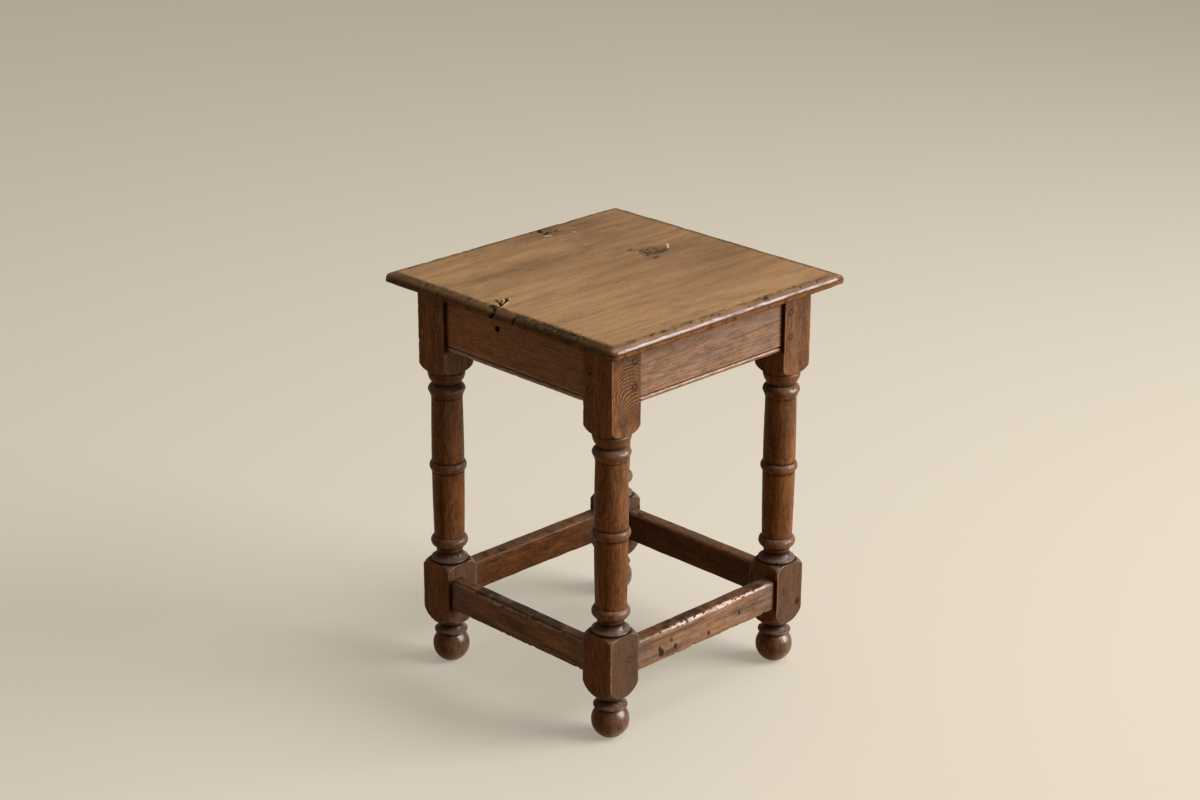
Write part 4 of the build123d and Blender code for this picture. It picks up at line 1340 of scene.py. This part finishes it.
def waxed_seat_oak():
    """A wide oak board, planed flat, sat on and waxed until it is smooth: golden brown with
    long soft streaks, a satin shine, and dark broken wood where knots and worm have been.
    Its moulded edge is redder where it is rubbed and grey with dust on the end grain."""
    name = "Waxed oak board, grain along X"
    if name in bpy.data.materials:
        return bpy.data.materials[name]
    tone = bpy.context.scene.stool_finish
    wood = Wood(name, 0)
    broad = wood.spots(0.36, 0.64, 240, 40, 4, 0.6)
    bands = wood.spots(0.42, 0.62, 190, 12, 6, 0.3, 2.7, 0.6)
    clouds = wood.spots(0.48, 0.7, 70, 26, 5, 0.5, 8.1, 0.6)
    cloudy = wood.spots(0.3, 0.62, 60, 9, 4, 0.6, 6.1, least=0.35)
    # fibres and pores in bundles 1.4 to 2.2 mm wide, because single ones are too fine to show
    fibres = wood.spots(0.4, 0.62, 26, 2.2, 4, 0.3, 5.2, 0.6)
    pores = wood.spots(0.54, 0.7, 8, 1.4, 2, 0.0, 1.9, 0.6)
    speck = wood.spots(0.52, 0.6, 3.4, 2.0, 3, 0.4, 6.3)
    line = {0: wood.ring_wave(), 1: -0.1, 2: 0.9}
    line = wood.add("MapRange", line, interpolation_type="SMOOTHSTEP")
    rubbed = wood.spots(0.3, 0.6, 14, 3.0, 4, 0.5, 4.2, least=0.35)
    dusty = wood.product(wood.spots(0.3, 0.7, 6, 4, 4, 0.2, 9.4, least=0.5), "dust")
    colour = wood.laid(
        tone.seat_mid,
        (tone.seat_light, 0.6, broad),
        # The broad pale clouds, with the dark ones below, also paint a falloff of light over the top.
        (tone.seat_light, 0.85, "pale"),
        (tone.seat_dark, 0.3, bands),
        (tone.seat_dark, 0.36, clouds),
        (tone.seat_dark, 0.12, line),
        (tone.seat_light, 0.22, fibres),
        (tone.seat_dark, 0.85, "cloud", cloudy),
        (tone.pore, 0.2, pores),
        (tone.seat_dark, 0.4, "flaw"),
        (tone.grime, 0.85, "flaw", speck),
        (tone.frame_mid, 0.85, "deep"),
        (tone.frame_dark, 0.3, "deep"),
        (tone.frame_worn, 0.8, "worn", rubbed),
        (tone.end_grain, 0.8, dusty),
        # This layer also paints the shadow line along the foot of the edge.
        (tone.grime, 0.9, "grime"),
        (tone.bare, 0.9, "bare"),
    )
    shine = wood.spots(0.3, 0.7, 60, 12, 4, 0.3, 3.8, least=0.58, full=0.68)
    relief = {0: pores, 1: -0.8, 2: wood.pattern(10, 1.3, 3, 0.0, 7.6)}
    relief = wood.add("Math", relief, operation="MULTIPLY_ADD")
    return wood.finish(
        colour, wood.dulled(shine, 0.8, dusty, pores), relief, 0.16,
        Coat_Weight=wood.wax(wood.spots(0.36, 0.54, 24, 5, 4, 0.3, 9.9, least=0.4)),
        Specular_IOR_Level=0.08, Coat_Roughness=0.22, Coat_IOR=1.6,
        Specular_Tint=(*tone.seat_light, 1.0),
    )


def peg_oak():
    """Cleft oak pegs cut off with a chisel: their end grain drinks wax and dirt, so the
    heads are nearly black, with a cold, dull shine."""
    name = "Cleft oak peg, end grain"
    if name in bpy.data.materials:
        return bpy.data.materials[name]
    tone = bpy.context.scene.stool_finish
    wood = Wood(name, 0)
    mottle = wood.spots(0.4, 0.65, 1.7, 1.7, 3, 0.3)  # open pores, drawn coarse enough to show
    colour = wood.laid(tone.peg, (tone.frame_mid, 0.25, mottle), (tone.grime, 1.0, "grime"))
    shine = wood.add("MapRange", {0: mottle, 3: 0.55, 4: 0.75}, interpolation_type="SMOOTHSTEP")
    return wood.finish(colour, shine, wood.pattern(0.9, 0.9, 2), 0.15, Specular_IOR_Level=0.25)


def seen_by_eye(tree):
    """1 for what the camera sees, straight, in a reflection or through glass, and 0 for the
    light that falls on things."""
    ray = tree.nodes.new("ShaderNodeLightPath").outputs
    seen = node(tree, "Math", {0: ray["Is Camera Ray"], 1: ray["Is Glossy Ray"]}, operation="MAXIMUM")
    return node(tree, "Math", {0: seen, 1: ray["Is Transmission Ray"]}, operation="MAXIMUM")


def plain_floor():
    """Matt painted board.  The eye sees it half lit by itself, so that it stays pale and even
    and keeps soft shadows; the light that it throws back on the stool is that of a wooden
    floor."""
    material = bpy.data.materials.new("Matt pale floor paint")
    material.use_nodes = True
    tree = material.node_tree
    tree.nodes.clear()
    tone = bpy.context.scene.stool_finish
    glow_share = 0.42
    glow = node(tree, "Emission", {"Color": (*tone.floor, 1.0), "Strength": glow_share})
    dimmed = tuple((1 - glow_share) * c for c in tone.floor)
    pale = node(tree, "AddShader", {0: glow, 1: node(tree, "BsdfDiffuse", {"Color": (*dimmed, 1.0)})})
    wood = node(tree, "BsdfDiffuse", {"Color": (*tone.floor_bounce, 1.0)})
    mixed = node(tree, "MixShader", {0: seen_by_eye(tree), 1: wood, 2: pale})
    node(tree, "OutputMaterial", {"Surface": mixed})
    return material


# ------------------------------------------------------------------ operators
def dress_sides(kind, surface, seed):
    """Makes the four rails or the four stretchers with the function surface."""
    sizes = sizes_in_mm()
    for index, side in enumerate(OUTWARD):
        axis = "X" if side in ("front", "back") else "Y"
        mesh = surface(kind + side, side, seed + 50 * index, sizes)
        dress(mesh, kind + side, waxed_frame_oak(axis))
    return {"FINISHED"}


class STOOL_OT_seat(bpy.types.Operator):
    """Makes the worn seat board with its moulded edge"""

    bl_idname = "stool.seat"
    bl_label = "Seat board"

    def execute(self, context):
        dress(seat_mesh("seat_board", sizes_in_mm()), "seat_board", waxed_seat_oak())
        return {"FINISHED"}


class STOOL_OT_legs(bpy.types.Operator):
    """Makes the four turned legs"""

    bl_idname = "stool.legs"
    bl_label = "Turned legs"

    def execute(self, context):
        sizes = sizes_in_mm()
        pegs = [
            place
            for side, outward in OUTWARD.items()
            for kind in PEG_KINDS
            for place in peg_places(kind + side, outward, sizes)
        ]
        for index, name in enumerate(sorted(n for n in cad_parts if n.startswith("leg_"))):
            low, high = node_box(name)
            own = [peg for peg in pegs if (peg > low - 2).all() and (peg < high + 2).all()]
            mesh = leg_surface("worn_" + name, low, high, own, 100 * index + 7, sizes)
            dress(mesh, name, waxed_frame_oak("Z"))
        return {"FINISHED"}


class STOOL_OT_rails(bpy.types.Operator):
    """Makes the four frieze rails with their scratched bead"""

    bl_idname = "stool.rails"
    bl_label = "Frieze rails"

    def execute(self, context):
        return dress_sides("rail_", rail_mesh, 500)


class STOOL_OT_stretchers(bpy.types.Operator):
    """Makes the four trodden stretchers"""

    bl_idname = "stool.stretchers"
    bl_label = "Stretchers"

    def execute(self, context):
        return dress_sides("stretcher_", stretcher_mesh, 900)


class STOOL_OT_pegs(bpy.types.Operator):
    """Makes the pegs of every joint"""

    bl_idname = "stool.pegs"
    bl_label = "Pegs"

    def execute(self, context):
        sizes = sizes_in_mm()
        for kind, dirt in PEG_KINDS.items():
            for index, (side, outward) in enumerate(OUTWARD.items()):
                low, high = node_box(kind + side)
                depth = abs((high - low) @ outward)
                pegs = [
                    peg_surface(place, outward, depth, dirt, 10 * index + count + len(kind), sizes)
                    for count, place in enumerate(peg_places(kind + side, outward, sizes))
                ]
                dress(ringed_mesh("worn_" + kind + side, *pegs), kind + side, peg_oak())
        return {"FINISHED"}


GRID_ANGLE = 110  # degrees, within which the grid before a lamp keeps its light
GRID_GAIN = 2.44  # how many times brighter that makes the light straight ahead
LAMP_AIM = 0.3  # metres above the floor, about the middle of the stool


def softbox(name, azimuth, elevation, distance, size, share):
    """A square lamp that looks at the stool from an azimuth, 0 at the front and 90 at the
    right, and an elevation, both in degrees.  A lamp of P watts at d metres gives P / (pi*d)^2 of
    what shows white as pure white, and GRID_GAIN times as much with a grid before it that
    keeps its light off the floor beneath it."""
    lamp = bpy.data.lights.new(name, "AREA")
    lamp.shape = "SQUARE"
    lamp.size = size
    lamp.spread = math.radians(GRID_ANGLE)
    lamp.energy = share * (math.pi * distance) ** 2 / GRID_GAIN
    holder = bpy.data.objects.new(name, lamp)
    bpy.context.scene.collection.objects.link(holder)
    a, e = math.radians(azimuth), math.radians(elevation)
    holder.location = (
        distance * math.sin(a) * math.cos(e),
        -distance * math.cos(a) * math.cos(e),
        LAMP_AIM + distance * math.sin(e),
    )
    holder.rotation_euler = (math.pi / 2 - e, 0.0, a)


class STOOL_OT_studio(bpy.types.Operator):
    """Makes the camera, the lights and the plain floor"""

    bl_idname = "stool.studio"
    bl_label = "Studio"

    def execute(self, context):
        scene = context.scene
        studio = scene.stool_studio
        a, p, r = studio.azimuth, studio.pitch, studio.roll
        back = np.array((math.sin(a) * math.cos(p), -math.cos(a) * math.cos(p), math.sin(p)))
        right = np.array((math.cos(a), math.sin(a), 0.0))
        up = np.cross(back, right)
        low, high = (np.array(corner) for corner in CAD_BOX)
        aim = (low + high) / 2 + right * studio.shift_right + up * studio.shift_up
        right, up = math.cos(r) * right + math.sin(r) * up, math.cos(r) * up - math.sin(r) * right
        place = aim + back * studio.distance
        camera = bpy.data.objects.new("camera", bpy.data.cameras.new("camera"))
        camera.matrix_world = [
            (right[k], up[k], back[k], place[k]) for k in range(3)
        ] + [(0.0, 0.0, 0.0, 1.0)]
        camera.matrix_world.transpose()
        camera.data.lens = studio.focal_length
        camera.data.sensor_width = 36.0
        scene.collection.objects.link(camera)
        scene.camera = camera

        softbox("key_lamp", azimuth=38.0, elevation=25.0, distance=4.6, size=3.0, share=studio.key)
        softbox(
            "overhead_lamp", azimuth=60.0, elevation=76.0, distance=4.0, size=3.2, share=studio.overhead,
        )

        world = bpy.data.worlds.new("room")
        scene.world = world
        world.use_nodes = True
        tree = world.node_tree
        tree.nodes.clear()
        room, backdrop = (
            node(tree, "Background", {"Color": (*colour, 1.0), "Strength": strength})
            for colour, strength in (
                (studio.room_tint, studio.room), (studio.backdrop_tint, studio.backdrop),
            )
        )
        mixed = node(tree, "MixShader", {0: seen_by_eye(tree), 1: room, 2: backdrop})
        node(tree, "OutputWorld", {"Surface": mixed})

        half = 14.0  # metres
        corners = [(-half, -half, 0), (half, -half, 0), (half, half, 0), (-half, half, 0)]
        mesh = bpy.data.meshes.new("floor")
        mesh.from_pydata(corners, [], [(0, 1, 2, 3)])
        mesh.materials.append(plain_floor())
        floor = bpy.data.objects.new("floor", mesh)
        scene.collection.objects.link(floor)
        scene.view_settings.view_transform = "Standard"
        return {"FINISHED"}


class STOOL_PT_panel(bpy.types.Panel):
    """The stool's settings and pieces in the 3D view's sidebar"""

    bl_idname = "STOOL_PT_panel"
    bl_label = "Joint stool"
    bl_space_type = "VIEW_3D"
    bl_region_type = "UI"
    bl_category = "Stool"

    def draw(self, context):
        for operator in OPERATORS:
            self.layout.operator(operator.bl_idname)
        for group, kind in GROUPS.items():
            box = self.layout.box()
            for name in kind.__annotations__:
                box.prop(getattr(context.scene, group), name)


OPERATORS = (
    STOOL_OT_seat, STOOL_OT_legs, STOOL_OT_rails, STOOL_OT_stretchers, STOOL_OT_pegs, STOOL_OT_studio,
)
GROUPS = {"stool_sizes": StoolSizes, "stool_finish": StoolFinish, "stool_studio": StoolStudio}


def register():
    """Registers the classes and hangs the settings on the scene."""
    for kind in (*GROUPS.values(), *OPERATORS, STOOL_PT_panel):
        bpy.utils.register_class(kind)
    for group, kind in GROUPS.items():
        setattr(bpy.types.Scene, group, bpy.props.PointerProperty(type=kind))


def unregister():
    """Takes the settings off the scene and unregisters the classes."""
    for group in GROUPS:
        delattr(bpy.types.Scene, group)
    for kind in reversed((*GROUPS.values(), *OPERATORS, STOOL_PT_panel)):
        bpy.utils.unregister_class(kind)


def main():
    register()
    bpy.ops.stool.seat()
    bpy.ops.stool.legs()
    bpy.ops.stool.rails()
    bpy.ops.stool.stretchers()
    bpy.ops.stool.pegs()
    bpy.ops.stool.studio()


if __name__ == "__main__":
    main()
